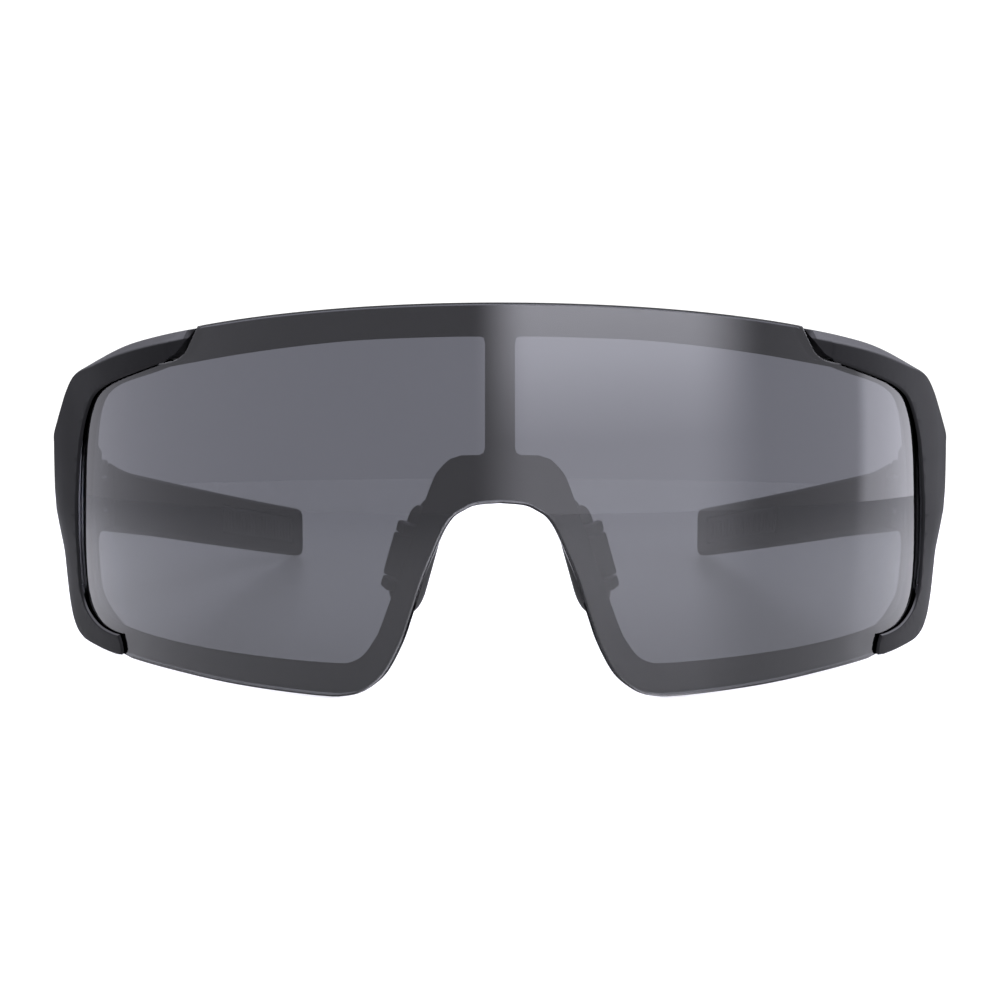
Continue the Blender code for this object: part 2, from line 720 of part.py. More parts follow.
def pad_plate(frame, inset_by, levels):
    """A plate with round corners in the pad's frame, through (depth, extra inset) levels."""
    rings = []
    for depth, extra in levels:
        margin = inset_by + extra
        half = PAD_LENGTH / 2 - margin
        low, high = margin, PAD_WIDTH - margin
        radius = min(3.6, (high - low) / 2 - 0.05)
        ring = []
        for cy, cz, start in (
            (high - radius, half - radius, 0),
            (low + radius, half - radius, 90),
            (low + radius, -half + radius, 180),
            (high - radius, -half + radius, 270),
        ):
            ring += [
                frame @ (Vector((depth, y, z)) * MM)
                for y, z in arc((cy, cz), radius, start, start + 90, 4)
            ]
        rings.append(ring)
    return loft(rings)


def pin_spot():
    """Where the pin passes through the pad's frame."""
    return PAD_THICK + FIT_GAP + CORE_THICK + FIT_GAP + EAR_RADIUS, 2.2


def nose_pads(looks):
    frame = pad_frame()
    x, y = pin_spot()
    centre = frame @ (Vector((x, y, 0.0)) * MM)
    up = frame.to_3x3() @ Vector((0, 0, 1))
    soft = pad_plate(frame, 0.0, ((0.0, 0.9), (0.5, 0.2), (1.0, 0.0), (PAD_THICK, 0.1)))
    both_sides("nose_pad", as_mesh(soft), looks["rubber"], centre)
    core_low = PAD_THICK + FIT_GAP
    plate = pad_plate(frame, 1.2, ((core_low, 0.0), (core_low + CORE_THICK, 0.2)))
    knuckle = bar(centre, up, [(SLEEVE_RADIUS, -SLEEVE_HALF), (SLEEVE_RADIUS, SLEEVE_HALF)], 16)
    hole = PIN_RADIUS + BORE_CLEARANCE
    bore = bar(centre, up, [(hole, -SLEEVE_HALF - 1.0), (hole, SLEEVE_HALF + 1.0)], 16)
    web = block((core_low + 0.4, y - 0.9, -SLEEVE_HALF), (x, y + 0.9, SLEEVE_HALF), frame)
    joins = [("UNION", web), ("UNION", knuckle), ("DIFFERENCE", bore)]
    core = combined("core", plate, joins)
    both_sides("nose_pad_core", core, looks["inner"], centre)
    reach = SLEEVE_HALF + FIT_GAP + EAR_TALL
    pin = bar(centre, up, [(PIN_RADIUS, -reach), (PIN_RADIUS, reach)], 16)
    both_sides("nose_pin", as_mesh(pin), looks["steel"])


def nose_bridge(finish):
    """The clip behind the nose cut, with two ears on each leg for the pad's pin."""
    inner = [(0.0, 0.2), (3.6, 0.0), (5.6, -0.9), (7.4, -2.6), (9.1, -5.8), (11.2, -10.9)]
    inner += [(12.9, -15.9)]
    outer = [(15.7, -16.2), (14.2, -11.4), (11.6, -5.0), (9.2, 1.4), (8.0, 3.4), (6.2, 4.7)]
    outer += [(3.0, 5.2), (0.0, 5.3)]
    half = smooth(inner, 2) + smooth(outer, 2)
    outline = half + [(-s, v) for s, v in reversed(half[1:-1])]
    frame = pad_frame()
    x, y = pin_spot()
    up = frame.to_3x3() @ Vector((0, 0, 1))
    steps = []
    centre = frame @ (Vector((x, y, 0.0)) * MM)
    hole = PIN_RADIUS + BORE_CLEARANCE
    start = SLEEVE_HALF + FIT_GAP
    for low, high in ((start, start + EAR_TALL), (-start - EAR_TALL, -start)):
        ear = combined(
            "ear",
            bar(centre, up, [(EAR_RADIUS, low), (EAR_RADIUS, high)], 16),
            [
                ("UNION", block((x - EAR_RADIUS, y - 3.0, low), (x + EAR_RADIUS, y, high), frame)),
                ("DIFFERENCE", bar(centre, up, [(hole, -9.0), (hole, 9.0)], 16)),
            ],
        )
        steps += [("UNION", ear), ("UNION", reflect(ear))]
    body = wrapped(flat_slab(outline, BRIDGE_FRONT, BRIDGE_BACK))
    make_object("nose_bridge", combined("bridge", body, steps), finish)


# ---------------------------------------------------------------- assembly


def build():
    clear_scene()
    looks = finishes()
    make_object("lens_shield", lens(), looks["lens"])
    make_object("lens_border", printed_border(), looks["print"])
    bracket(looks["frame"])
    gasket(looks["rubber"])
    hinge_hardware(looks)
    temple(looks)
    nose_bridge(looks["inner"])
    nose_pads(looks)


build()
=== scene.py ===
import math

import bmesh
import bpy
import numpy as np
from mathutils import Matrix, Vector


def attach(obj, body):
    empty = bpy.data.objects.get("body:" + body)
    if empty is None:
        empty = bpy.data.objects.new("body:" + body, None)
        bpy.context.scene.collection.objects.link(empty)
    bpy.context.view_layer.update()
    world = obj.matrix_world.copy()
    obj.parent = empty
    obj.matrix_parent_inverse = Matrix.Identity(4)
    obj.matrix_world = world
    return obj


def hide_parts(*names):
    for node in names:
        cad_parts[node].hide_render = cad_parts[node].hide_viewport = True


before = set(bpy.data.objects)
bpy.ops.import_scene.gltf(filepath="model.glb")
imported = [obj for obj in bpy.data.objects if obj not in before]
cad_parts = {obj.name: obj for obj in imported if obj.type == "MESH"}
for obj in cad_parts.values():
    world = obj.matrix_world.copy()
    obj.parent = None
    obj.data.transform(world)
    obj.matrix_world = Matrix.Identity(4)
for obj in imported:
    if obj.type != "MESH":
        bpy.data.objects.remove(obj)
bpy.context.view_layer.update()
MM = 0.001

# ------------------------------------------------------------------ studio
# A pale floor in a pale room with soft daylight from all round, a large softbox before
# the wearer's left side, and a tall panel behind it. The room is a world shader, drawn
# by compass direction and height, and the camera sees it white. The floor glows with
# painted light: a pool that is brightest round the glasses and fades darker to its rim.

LENS_FRONT_Y = -0.080
LENS_CENTRE_Z = 0.0283
CAMERA_DISTANCE = 0.217
CAMERA_RISE = math.radians(5.5)
FOCAL_MM = 57.74

camera_data = bpy.data.cameras.new("camera")
camera_data.lens = FOCAL_MM
camera_data.sensor_width = 36.0
camera_data.clip_start = 0.01
camera_data.clip_end = 100.0
camera = bpy.data.objects.new("camera", camera_data)
camera.location = (
    0.0,
    LENS_FRONT_Y - CAMERA_DISTANCE * math.cos(CAMERA_RISE),
    LENS_CENTRE_Z + CAMERA_DISTANCE * math.sin(CAMERA_RISE),
)
camera.rotation_euler = (math.pi / 2 - CAMERA_RISE, 0.0, 0.0)
bpy.context.collection.objects.link(camera)
bpy.context.scene.camera = camera
bpy.context.scene.view_settings.view_transform = "Standard"


class Tree:
    """A shader's node tree, with short calls for the nodes that the finishes use."""

    def __init__(self, tree):
        self.tree = tree
        self.nodes = tree.nodes

    def add(self, kind, **values):
        node = self.nodes.new(kind)
        for key, value in values.items():
            setattr(node, key, value)
        return node

    def join(self, source, node, socket):
        target = node.inputs[socket]
        if isinstance(source, bpy.types.NodeSocket):
            self.tree.links.new(source, target)
        else:
            target.default_value = source

    def maths(self, operation, first, second=None, third=None):
        node = self.add("ShaderNodeMath", operation=operation)
        for index, value in enumerate((first, second, third)):
            if value is not None:
                self.join(value, node, index)
        return node.outputs[0]

    def step(self, value, low, high, to_low=0.0, to_high=1.0):
        """value mapped smoothly from low..high to to_low..to_high."""
        node = self.add("ShaderNodeMapRange", interpolation_type="SMOOTHSTEP")
        for index, entry in enumerate((value, low, high, to_low, to_high)):
            self.join(entry, node, index)
        return node.outputs[0]

    def mix(self, factor, first, second):
        node = self.add("ShaderNodeMix", data_type="RGBA")
        self.join(factor, node, 0)
        self.join(first, node, 6)
        self.join(second, node, 7)
        return node.outputs[2]


ROOM_LEVEL = 1.08
ROOM_TINT = (0.97, 0.965, 1.07, 1.0)
BACK_LEVEL = 1.5  # straight behind the glasses, between the two flags
BOX_LEVEL = 5.6
BOX_TOP = 60.0  # degrees over the horizon
BOX_RISE = [(0.0, 0.34), (4.0, 0.55), (8.0, 0.80), (12.0, 0.95), (18.0, 1.0), (48.0, 1.0)]
PANEL_LEVEL = 1.5
FLAG_DARK = 0.93  # how much light each of the two black flags takes away
SEEN_LEVEL = 1.2  # the plain white that the camera sees
DEG = math.radians(1.0)

world = bpy.data.worlds.new("studio")
world.use_nodes = True
bpy.context.scene.world = world
room = Tree(world.node_tree)
room.nodes.clear()
look = room.add("ShaderNodeSeparateXYZ")
room.join(room.add("ShaderNodeTexCoord").outputs["Generated"], look, 0)
east, north, rise = look.outputs
turn = room.maths("ARCTAN2", east, room.maths("MULTIPLY", north, -1.0))
height = room.maths("ARCSINE", rise)
around = room.maths("ABSOLUTE", turn)


def between(direction, start, full, fading, end):
    """One inside a range of directions in degrees, with an eased edge on either side."""
    return room.maths(
        "MULTIPLY",
        room.step(direction, start * DEG, full * DEG),
        room.step(direction, fading * DEG, end * DEG, 1.0, 0.0),
    )


box_tall = room.add("ShaderNodeValToRGB")
room.join(room.maths("DIVIDE", height, BOX_TOP * DEG), box_tall, "Fac")
ramp = box_tall.color_ramp
ramp.elements[0].position, ramp.elements[1].position = 0.0, 1.0
for rise_degrees, level in BOX_RISE[1:]:
    ramp.elements.new(rise_degrees / BOX_TOP).color = (level, level, level, 1.0)
ramp.elements[0].color = (BOX_RISE[0][1],) * 3 + (1.0,)
ramp.elements[len(BOX_RISE)].color = (0.0, 0.0, 0.0, 1.0)
softbox = room.maths("MULTIPLY", between(turn, -7, 8, 46, 68), box_tall.outputs[0])
softbox = room.maths("MULTIPLY", softbox, BOX_LEVEL)
panel = room.maths("MULTIPLY", between(turn, 97, 103, 135, 155), PANEL_LEVEL)
behind = room.step(around, 140 * DEG, 156 * DEG, 0.0, BACK_LEVEL - ROOM_LEVEL)
glow = room.maths("ADD", room.maths("ADD", softbox, panel), room.maths("ADD", behind, ROOM_LEVEL))
shade = room.maths("MULTIPLY", between(around, 132, 141, 156, 164), FLAG_DARK)
glow = room.maths("MULTIPLY", glow, room.maths("SUBTRACT", 1.0, shade))
lit = room.add("ShaderNodeBackground")
room.join(ROOM_TINT, lit, "Color")
room.join(glow, lit, "Strength")
seen = room.add("ShaderNodeBackground")
room.join((1.0, 1.0, 1.0, 1.0), seen, "Color")
room.join(SEEN_LEVEL, seen, "Strength")
choose = room.add("ShaderNodeMixShader")
room.join(room.add("ShaderNodeLightPath").outputs["Is Camera Ray"], choose, 0)
room.join(lit.outputs[0], choose, 1)
room.join(seen.outputs[0], choose, 2)
room.tree.links.new(choose.outputs[0], room.add("ShaderNodeOutputWorld").inputs[0])

FLOOR_REACH = 0.3
FLOOR_DROP = 0.0002
PAINTED_GLOW_FADE_START = 0.12  # the floor's painted glow and colour fade darker from here to its rim, except straight behind
bm = bmesh.new()
bmesh.ops.create_circle(bm, cap_ends=True, segments=96, radius=FLOOR_REACH)
floor_mesh = bpy.data.meshes.new("floor")
bm.to_mesh(floor_mesh)
bm.free()
floor = bpy.data.objects.new("floor", floor_mesh)
floor.location.z = -FLOOR_DROP
bpy.context.collection.objects.link(floor)
pale = bpy.data.materials.new("pale_floor")
pale.use_nodes = True
pale_tree = Tree(pale.node_tree)
pale_shader = pale.node_tree.nodes["Principled BSDF"]
pale_shader.inputs["Roughness"].default_value = 0.3
# Painted light: the floor glows by its own emission, which washes out the shadows under the
# glasses.
pale_shader.inputs["Emission Strength"].default_value = 1.0
spot = pale_tree.add("ShaderNodeTexCoord").outputs["Object"]
spread = pale_tree.add("ShaderNodeVectorMath", operation="LENGTH")
pale_tree.join(spot, spread, 0)
parts = pale_tree.add("ShaderNodeSeparateXYZ")
pale_tree.join(spot, parts, 0)
rearward = pale_tree.maths("DIVIDE", parts.outputs[1], spread.outputs["Value"])
# Painted pool of light: glow and colour are brightest near the glasses and fade darker towards the
# rim, except straight behind.
rim = pale_tree.maths(
    "MULTIPLY",
    pale_tree.step(spread.outputs["Value"], PAINTED_GLOW_FADE_START, FLOOR_REACH),
    pale_tree.step(rearward, 0.6, 0.92, 1.0, 0.0),
)
for socket, near, far in (
    ("Base Color", (0.45, 0.45, 0.47, 1.0), (0.30, 0.30, 0.32, 1.0)),
    ("Emission Color", (0.66, 0.66, 0.69, 1.0), (0.30, 0.30, 0.315, 1.0)),
):
    pale_tree.join(pale_tree.mix(rim, near, far), pale_shader, socket)
floor_mesh.materials.append(pale)

# ------------------------------------------------------------------ lens
# One smoke-tinted polycarbonate shield, moulded as a piece of a barrel: a circle in
# plan and a flatter arc in height. Its rim is ground with a small round, its ends are
# cut down to fit the brackets, and a notch at each upper corner lets a finger through.

LENS_RADIUS = 78.0
BARREL_RADIUS = 260.0
LENS_THICK = 2.0
LENS_ROUND = 0.42
SHEET_GRID = 2.5
DEPTH = 160.0  # from the lens's front to the temple tips
TURN_START = 84.0
TURN_RADIUS = 22.0


def plan(s):
    """Point and heading of the front's plan curve, s millimetres from the middle."""
    along = min(s, TURN_START)
    heading = along / LENS_RADIUS
    x = LENS_RADIUS * math.sin(heading)
    y = LENS_RADIUS * (1.0 - math.cos(heading))
    rest = s - along
    turned = min(rest / TURN_RADIUS, math.pi / 2 - heading)
    x += TURN_RADIUS * (math.sin(heading + turned) - math.sin(heading))
    y += TURN_RADIUS * (math.cos(heading) - math.cos(heading + turned))
    y += rest - turned * TURN_RADIUS
    return x, y, heading + turned


def wrap(s, v, n):
    """A point of the lens's chart (along, up, out of the front), in space."""
    x, y, heading = plan(abs(s))
    out = n - v * v / (2.0 * BARREL_RADIUS)
    x += out * math.sin(heading)
    y -= out * math.cos(heading)
    return Vector((math.copysign(x, s) * MM, (y - DEPTH / 2) * MM, v * MM + LENS_CENTRE_Z))


def wrap_direction(s, v, along, up, out):
    """A direction of the chart at a point, in space."""
    heading = plan(abs(s))[2]
    side = -1.0 if s < 0 else 1.0
    tilt = v / BARREL_RADIUS
    tangent = Vector((math.cos(heading), side * math.sin(heading), 0.0))
    normal = Vector((side * math.sin(heading), -math.cos(heading), tilt)).normalized()
    rise_way = normal.cross(tangent) * -1.0
    return (tangent * along + rise_way * up + normal * out).normalized()


def smooth(points, per_span=6):
    """A curve through the points (Catmull-Rom), as a list of points."""
    ends = [points[0]] + list(points) + [points[-1]]
    line = []
    for a, b, c, d in zip(ends, ends[1:], ends[2:], ends[3:]):
        for k in range(per_span):
            t = k / per_span
            line.append(
                tuple(
                    0.5 * (2 * q + (r - p) * t + (2 * p - 5 * q + 4 * r - w) * t**2
                           + (3 * q - p - 3 * r + w) * t**3)
                    for p, q, r, w in zip(a, b, c, d)
                )
            )
    line.append(tuple(points[-1]))
    return line


TOP_LEVEL, LOW_LEVEL = 26.6, -28.3
TOP_BEND = 730.0
CROWN_END = 46.7


def top_edge(s):
    return TOP_LEVEL - s * s / TOP_BEND


def lens_outline():
    arch = [(0.0, -0.5), (3.3, -0.8), (5.1, -1.6), (6.4, -2.5)]
    leg = [(7.6, -4.2), (9.0, -7.2), (10.7, -11.2), (12.4, -16.2), (13.9, -20.2)]
    lobe = [(16.2, -24.3), (18.5, -26.5), (20.8, -27.7), (23.6, -28.25)]
    low = [(27.0, -28.3), (40.7, -27.9), (53.1, -27.3), (64.8, -26.95)]
    foot = [(67.4, -26.6), (68.5, -25.1)]
    end = [(72.5, -24.9), (76.6, -24.2), (80.2, -22.6), (81.9, -20.2), (82.4, -16.0)]
    side = [(82.3, -11.0), (81.8, -7.0), (80.8, -1.0), (79.6, 5.0), (78.3, 8.5), (76.6, 11.4)]
    tab = [(74.6, 13.6), (72.0, 15.3), (68.3, 16.6), (64.3, 17.4), (60.0, 18.0), (56.5, 18.4)]
    tab.append((53.6, 18.35))
    notch = [(53.6, 18.35), (51.0, 18.85), (49.3, 19.8), (48.4, 20.9), (CROWN_END, 23.6)]
    crown = [(CROWN_END * (1 - k / 40), top_edge(CROWN_END * (1 - k / 40))) for k in range(1, 41)]
    half = smooth(arch + leg + lobe)[:-1] + smooth([lobe[-1]] + low)
    half += foot + smooth(end + side + tab, 4)[:-1] + smooth(notch) + crown
    half = [(s, max(v, LOW_LEVEL)) for s, v in half]
    return half + [(-s, v) for s, v in reversed(half[1:-1])]


def outline_normals(points):
    """The outward direction at each point of a closed outline."""
    count = len(points)
    area = sum(
        points[k - 1][0] * points[k][1] - points[k][0] * points[k - 1][1] for k in range(count)
    )
    turn_sign = 1.0 if area > 0 else -1.0
    out = []
    for k in range(count):
        here = Vector(points[k])
        before = (here - Vector(points[k - 1])).normalized()
        after = (Vector(points[(k + 1) % count]) - here).normalized()
        way = before + after
        out.append(Vector((way.y, -way.x)).normalized() * turn_sign)
    return out


def moved(points, distance):
    """A closed outline moved outwards."""
    return [tuple(Vector(p) + n * distance) for p, n in zip(points, outline_normals(points))]


def slice_mesh(bm, axis, step):
    """Cuts a mesh into strips across an axis, so that it can follow a curve."""
    normal = Vector((0, 0, 0))
    normal[axis] = 1.0
    reach = [vert.co[axis] for vert in bm.verts]
    for k in range(math.ceil(min(reach) / step), math.floor(max(reach) / step) + 1):
        bmesh.ops.bisect_plane(
            bm,
            geom=bm.verts[:] + bm.edges[:] + bm.faces[:],
            dist=1e-5,
            plane_co=normal * (k * step),
            plane_no=normal,
        )


def sheet_body(name, outline, holes, front, back, rim):
    """A moulded sheet on the lens's chart, with rounded rims and true curved normals.

    Each loop gets rings that roll from the front face over its edge to the back face,
    and the two faces between the loops are filled and then cut into a fine grid.
    """
    bm = bmesh.new()
    facing = bm.verts.layers.float_vector.new("facing")
    rolled = bm.faces.layers.int.new("rolled")
    angles = [math.radians(22.5 * k) for k in range(5)]
    quarter = [(math.cos(angle), math.sin(angle)) for angle in angles]
    rings = [(front - rim * (1 - c), rim * (1 - s), c, s) for c, s in quarter]
    rings += [(back + rim * (1 - c), rim * (1 - s), -c, s) for c, s in reversed(quarter)]
    face_edges = ([], [])
    for points, sense in [(outline, 1.0)] + [(hole, -1.0) for hole in holes]:
        normals = outline_normals(points)
        count = len(points)
        rows = []
        for level, pull, out, side in rings:
            row = []
            for (s, v), way in zip(points, normals):
                vert = bm.verts.new((s - way.x * pull * sense, -level, v - way.y * pull * sense))
                vert[facing] = (way.x * side * sense, way.y * side * sense, out)
                row.append(vert)
            rows.append(row)
        for upper, lower in zip(rows, rows[1:]):
            for k in range(count):
                j = (k + 1) % count
                bm.faces.new((upper[k], upper[j], lower[j], lower[k]))[rolled] = 1
        for edges, row in zip(face_edges, (rows[0], rows[-1])):
            edges += [bm.edges.get((row[k], row[(k + 1) % count])) for k in range(count)]
    for edges in face_edges:
        bmesh.ops.triangle_fill(bm, edges=edges, use_beauty=True)
    for axis in (0, 2):
        slice_mesh(bm, axis, SHEET_GRID)
    middle = (front + back) / 2
    for vert in bm.verts:
        way = Vector(vert[facing])
        n = -vert.co.y
        if not any(face[rolled] for face in vert.link_faces):
            way = Vector((0.0, 0.0, 1.0 if n > middle else -1.0))
        s, v = vert.co.x, vert.co.z
        vert[facing] = wrap_direction(s, v, way.x, way.y, way.z)
        vert.co = wrap(s, v, n)
    bmesh.ops.recalc_face_normals(bm, faces=bm.faces)
    mesh = bpy.data.meshes.new(name)
    bm.to_mesh(mesh)
    bm.free()
    mesh.shade_smooth()
    ways = np.zeros(len(mesh.vertices) * 3, np.float32)
    mesh.attributes["facing"].data.foreach_get("vector", ways)
    mesh.attributes.remove(mesh.attributes["facing"])
    mesh.attributes.remove(mesh.attributes["rolled"])
    mesh.normals_split_custom_set_from_vertices(ways.reshape(-1, 3).tolist())
    made = bpy.data.objects.new(name, mesh)
    bpy.context.collection.objects.link(made)
    return made


def finish_material(name, colour, roughness, metallic=0.0):
    made = bpy.data.materials.new(name)
    made.use_nodes = True
    shader = made.node_tree.nodes["Principled BSDF"]
    shader.inputs["Base Color"].default_value = (*colour, 1.0)
    shader.inputs["Roughness"].default_value = roughness
    shader.inputs["Metallic"].default_value = metallic
    return made, Tree(made.node_tree), shader


def noise(tree, scale, detail):
    """Noise over the piece's own coordinates."""
    cloud = tree.add("ShaderNodeTexNoise")
    tree.join(tree.add("ShaderNodeTexCoord").outputs["Object"], cloud, "Vector")
    tree.join(scale, cloud, "Scale")
    tree.join(detail, cloud, "Detail")
    return cloud.outputs["Fac"]


def uneven_tint(tree, shader, scale, spread):
    """A faint change of depth in the colour, as dye or ink takes up unevenly."""
    colour = shader.inputs["Base Color"].default_value[:3]
    dark, light = ([*(tone + sense * spread for tone in colour), 1.0] for sense in (-1, 1))
    cloud = noise(tree, scale, 2.0)
    tree.join(tree.mix(tree.step(cloud, 0.3, 0.7), dark, light), shader, "Base Color")
    return cloud


LENS_TINT = (0.075, 0.077, 0.084)
smoke, smoke_tree, smoke_shader = finish_material("smoke_polycarbonate", LENS_TINT, 0.0)
smoke_shader.inputs["Transmission Weight"].default_value = 1.0
smoke_shader.inputs["IOR"].default_value = 1.5
uneven_tint(smoke_tree, smoke_shader, 25.0, 0.0015)

shield = sheet_body("shield", lens_outline(), [], 0.0, -LENS_THICK, LENS_ROUND)
shield.data.materials.append(smoke)
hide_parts("lens_shield")
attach(shield, "front")

# ------------------------------------------------------------------ printed border
# Black ink baked on the rear face of the lens. It hides the clip and the brackets'
# inner plates, and leaves two windows with a narrow bar between them.

PRINT_FRONT = -2.3
PRINT_THICK = 0.3
PRINT_INSET = 0.35


def window_outline():
    bar = [(2.1, 21.0), (2.1, 6.9), (2.3, 6.25), (2.9, 5.95), (5.4, 5.9)]
    nose = [(7.0, 5.4), (8.3, 4.2), (9.6, 2.1), (12.2, -5.0), (17.0, -17.5)]
    foot = [(18.5, -20.3), (19.9, -22.1), (21.7, -23.2), (24.5, -23.6)]
    low = [(36.0, -23.5), (48.5, -23.2), (60.6, -22.7), (69.0, -22.1)]
    end = [(73.6, -21.4), (76.4, -19.9), (78.3, -17.8), (78.9, -15.0), (78.6, -10.8)]
    end += [(77.7, -5.9), (76.6, -0.9), (75.8, 3.3), (74.9, 7.6), (73.8, 10.6)]
    top = [(72.0, 12.8), (68.6, 14.4), (63.5, 15.8), (56.0, 17.3), (48.0, 18.4), (39.8, 19.5)]
    top += [(29.2, 20.7), (19.5, 21.5), (8.0, 21.9), (2.8, 21.95)]
    return bar + smooth(nose + foot + low + end + top, 5) + [(2.3, 21.8)]


def uneven_gloss(tree, shader, height, spread, low=0.3, high=0.7):
    """A change of gloss over the surface, to either side of the finish's own."""
    middle = shader.inputs["Roughness"].default_value
    gloss = tree.step(height, low, high, middle - spread, middle + spread)
    tree.join(gloss, shader, "Roughness")


ink, ink_tree, ink_shader = finish_material("baked_ink", (0.012, 0.012, 0.013), 0.35)
mottle = uneven_tint(ink_tree, ink_shader, 900.0, 0.002)
uneven_gloss(ink_tree, ink_shader, mottle, 0.04)
windows = [window_outline(), [(-s, v) for s, v in reversed(window_outline())]]
border = sheet_body(
    "printed_border", moved(lens_outline(), -PRINT_INSET), windows, PRINT_FRONT,
    PRINT_FRONT - PRINT_THICK, 0.05
)
border.data.materials.append(ink)
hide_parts("lens_border")
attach(border, "front")

# ------------------------------------------------------------------ side brackets
# One injection-moulded nylon part on each side, dull satin with a painted highlight: its base
# colour is lighter on faces that look up. It wraps round the lens's end from the upper finger to
# the lower one, holds it in a groove, turns to the side of the head and ends in two lugs for the
# hinge screw.

LIP_FRONT = 0.65
CHAMFER_BACK = -1.4
CHAMFER_SOFT = 0.15
BRACKET_BACK = -4.7
BRACKET_ROUND = 0.35
GROOVE_FRONT = 0.25
GROOVE_BACK = -2.9
GROOVE_CLEAR = 0.35
REAR_LAND = 0.5  # behind the groove, before the rear lip opens
REAR_OPEN_NEAR, REAR_OPEN_FAR = 0.9, 5.0
REAR_OPEN_LOW, REAR_OPEN_HIGH = (-23.0, -17.0), (13.0, 17.0)
BOSS_SWELL = 2.15
BOSS_MIDDLE = 1.0
BOSS_BAND = (5.0, 15.0)
BOSS_FALL = 0.6
BOSS_JOIN = 91.0
SWELL_START, SWELL_END = 74.0, 97.0
DIP_START = 52.0
DIP_SLOPE = 0.5
HINGE_X = 69.2
HINGE_Y = 56.0
HINGE_Z = 24.1
KNUCKLE_RADIUS = 2.6
TONGUE_HALF = 2.4
LUG_START = 3.3
LUG_TOP = 5.6
LUG_ARM = 5.0
LUG_SOFT = 0.3
SCREW_RADIUS = 0.7
SCREW_HEAD_RADIUS = 1.5
SCREW_HEAD_TALL = 0.9
GAP = 0.3
UP = Vector((0, 0, 1))


def behind_front(x, y, z):
    return Vector((x, y - DEPTH / 2, z)) * MM


def loft(rings, joined=False):
    """A closed body through rings of points: capped, or its last ring joined to its first."""
    bm = bmesh.new()
    rows = [[bm.verts.new(p) for p in ring] for ring in rings]
    count = len(rows[0])
    for low, high in zip(rows, rows[1:] + (rows[:1] if joined else [])):
        for k in range(count):
            bm.faces.new((low[k], low[(k + 1) % count], high[(k + 1) % count], high[k]))
    if not joined:
        bm.faces.new(rows[0])
        bm.faces.new(rows[-1])
    bmesh.ops.recalc_face_normals(bm, faces=bm.faces)
    return bm


def flat_slab(outline, front, back):
    return loft([[(s, -n, v) for s, v in outline] for n in (front, back)])


def new_piece(name, source, finish=None):
    """An object from a mesh or a bmesh, at the origin."""
    mesh = source
    if isinstance(source, bmesh.types.BMesh):
        mesh = bpy.data.meshes.new(name)
        source.to_mesh(mesh)
        source.free()
    made = bpy.data.objects.new(name, mesh)
    bpy.context.collection.objects.link(made)
    if finish:
        mesh.materials.clear()
        mesh.materials.append(finish)
    return made


def baked(work):
    """The object's mesh with its modifiers applied. The object itself goes."""
    bpy.context.view_layer.update()
    graph = bpy.context.evaluated_depsgraph_get()
    mesh = bpy.data.meshes.new_from_object(work.evaluated_get(graph))
    bpy.data.objects.remove(work, do_unlink=True)
    return mesh


def combined(base, steps):
    """A body with others joined to it or cut from it."""
    work = new_piece("work", base)
    tools = []
    for kind, other in steps:
        tool = new_piece("tool", other)
        cut = work.modifiers.new("Boolean", "BOOLEAN")
        cut.operation = kind
        cut.solver = "EXACT"
        cut.object = tool
        tools.append(tool)
    mesh = baked(work)
    for tool in tools:
        bpy.data.objects.remove(tool, do_unlink=True)
    return mesh


def on_chart(source, change=None, columns=2.0, rows=3.0):
    """A flat body of the chart, cut into small cells and wrapped on the lens."""
    bm = bmesh.new()
    bm.from_mesh(source)
    slice_mesh(bm, 0, columns)
    slice_mesh(bm, 2, rows)
    for vert in bm.verts:
        s, n, v = vert.co.x, -vert.co.y, vert.co.z
        vert.co = wrap(s, v, change(s, v, n) if change else n)
    bmesh.ops.triangulate(bm, faces=[face for face in bm.faces if len(face.verts) > 4])
    bmesh.ops.recalc_face_normals(bm, faces=bm.faces)
    return bm


def other_side(mesh):
    """The same body on the other side of the middle."""
    copy = mesh.copy()
    copy.transform(Matrix.Scale(-1, 4, (1, 0, 0)))
    copy.flip_normals()
    return copy


def both_sides(left):
    return ("left", left), ("right", other_side(left))


def turned_body(centre, axis, profile, sides=40, joined=False):
    """A solid of revolution through (radius, height) points, in millimetres."""
    turn_to = axis.normalized().to_track_quat("Z", "Y").to_matrix()
    rings = []
    for radius, height in profile:
        ring = []
        for k in range(sides):
            angle = 2 * math.pi * k / sides
            spot = Vector((radius * math.cos(angle), radius * math.sin(angle), height))
            ring.append(centre + turn_to @ spot * MM)
        rings.append(ring)
    return loft(rings, joined)


def soft_drum(centre, axis, radius, low, high, soft, sides=40):
    """A round post with softened ends."""
    return turned_body(centre, axis, [
        (radius - soft, low), (radius, low + soft),
        (radius, high - soft), (radius - soft, high)], sides)


def drill(centre, axis, radius, low, high, sides=40):
    return turned_body(centre, axis, [(radius, low), (radius, high)], sides)


def block(low, high, place=None):
    place = place or Matrix.Identity(4)
    ring = [(low[0], low[1]), (high[0], low[1]), (high[0], high[1]), (low[0], high[1])]
    return loft([[place @ (Vector((x, y, z)) * MM) for x, y in ring] for z in (low[2], high[2])])


def soft_shade(made, angle=32.0):
    """Smooth shading that keeps the corners, weighted so that flat faces stay flat."""
    bm = bmesh.new()
    bm.from_mesh(made.data)
    bmesh.ops.remove_doubles(bm, verts=bm.verts, dist=2e-6)
    bmesh.ops.dissolve_degenerate(bm, edges=bm.edges, dist=2e-6)
    bm.to_mesh(made.data)
    bm.free()
    made.data.shade_smooth()
    made.data.set_sharp_from_angle(angle=math.radians(angle))
    weigh = made.modifiers.new("Weighted Normal", "WEIGHTED_NORMAL")
    weigh.keep_sharp = True
    weigh.weight = 60


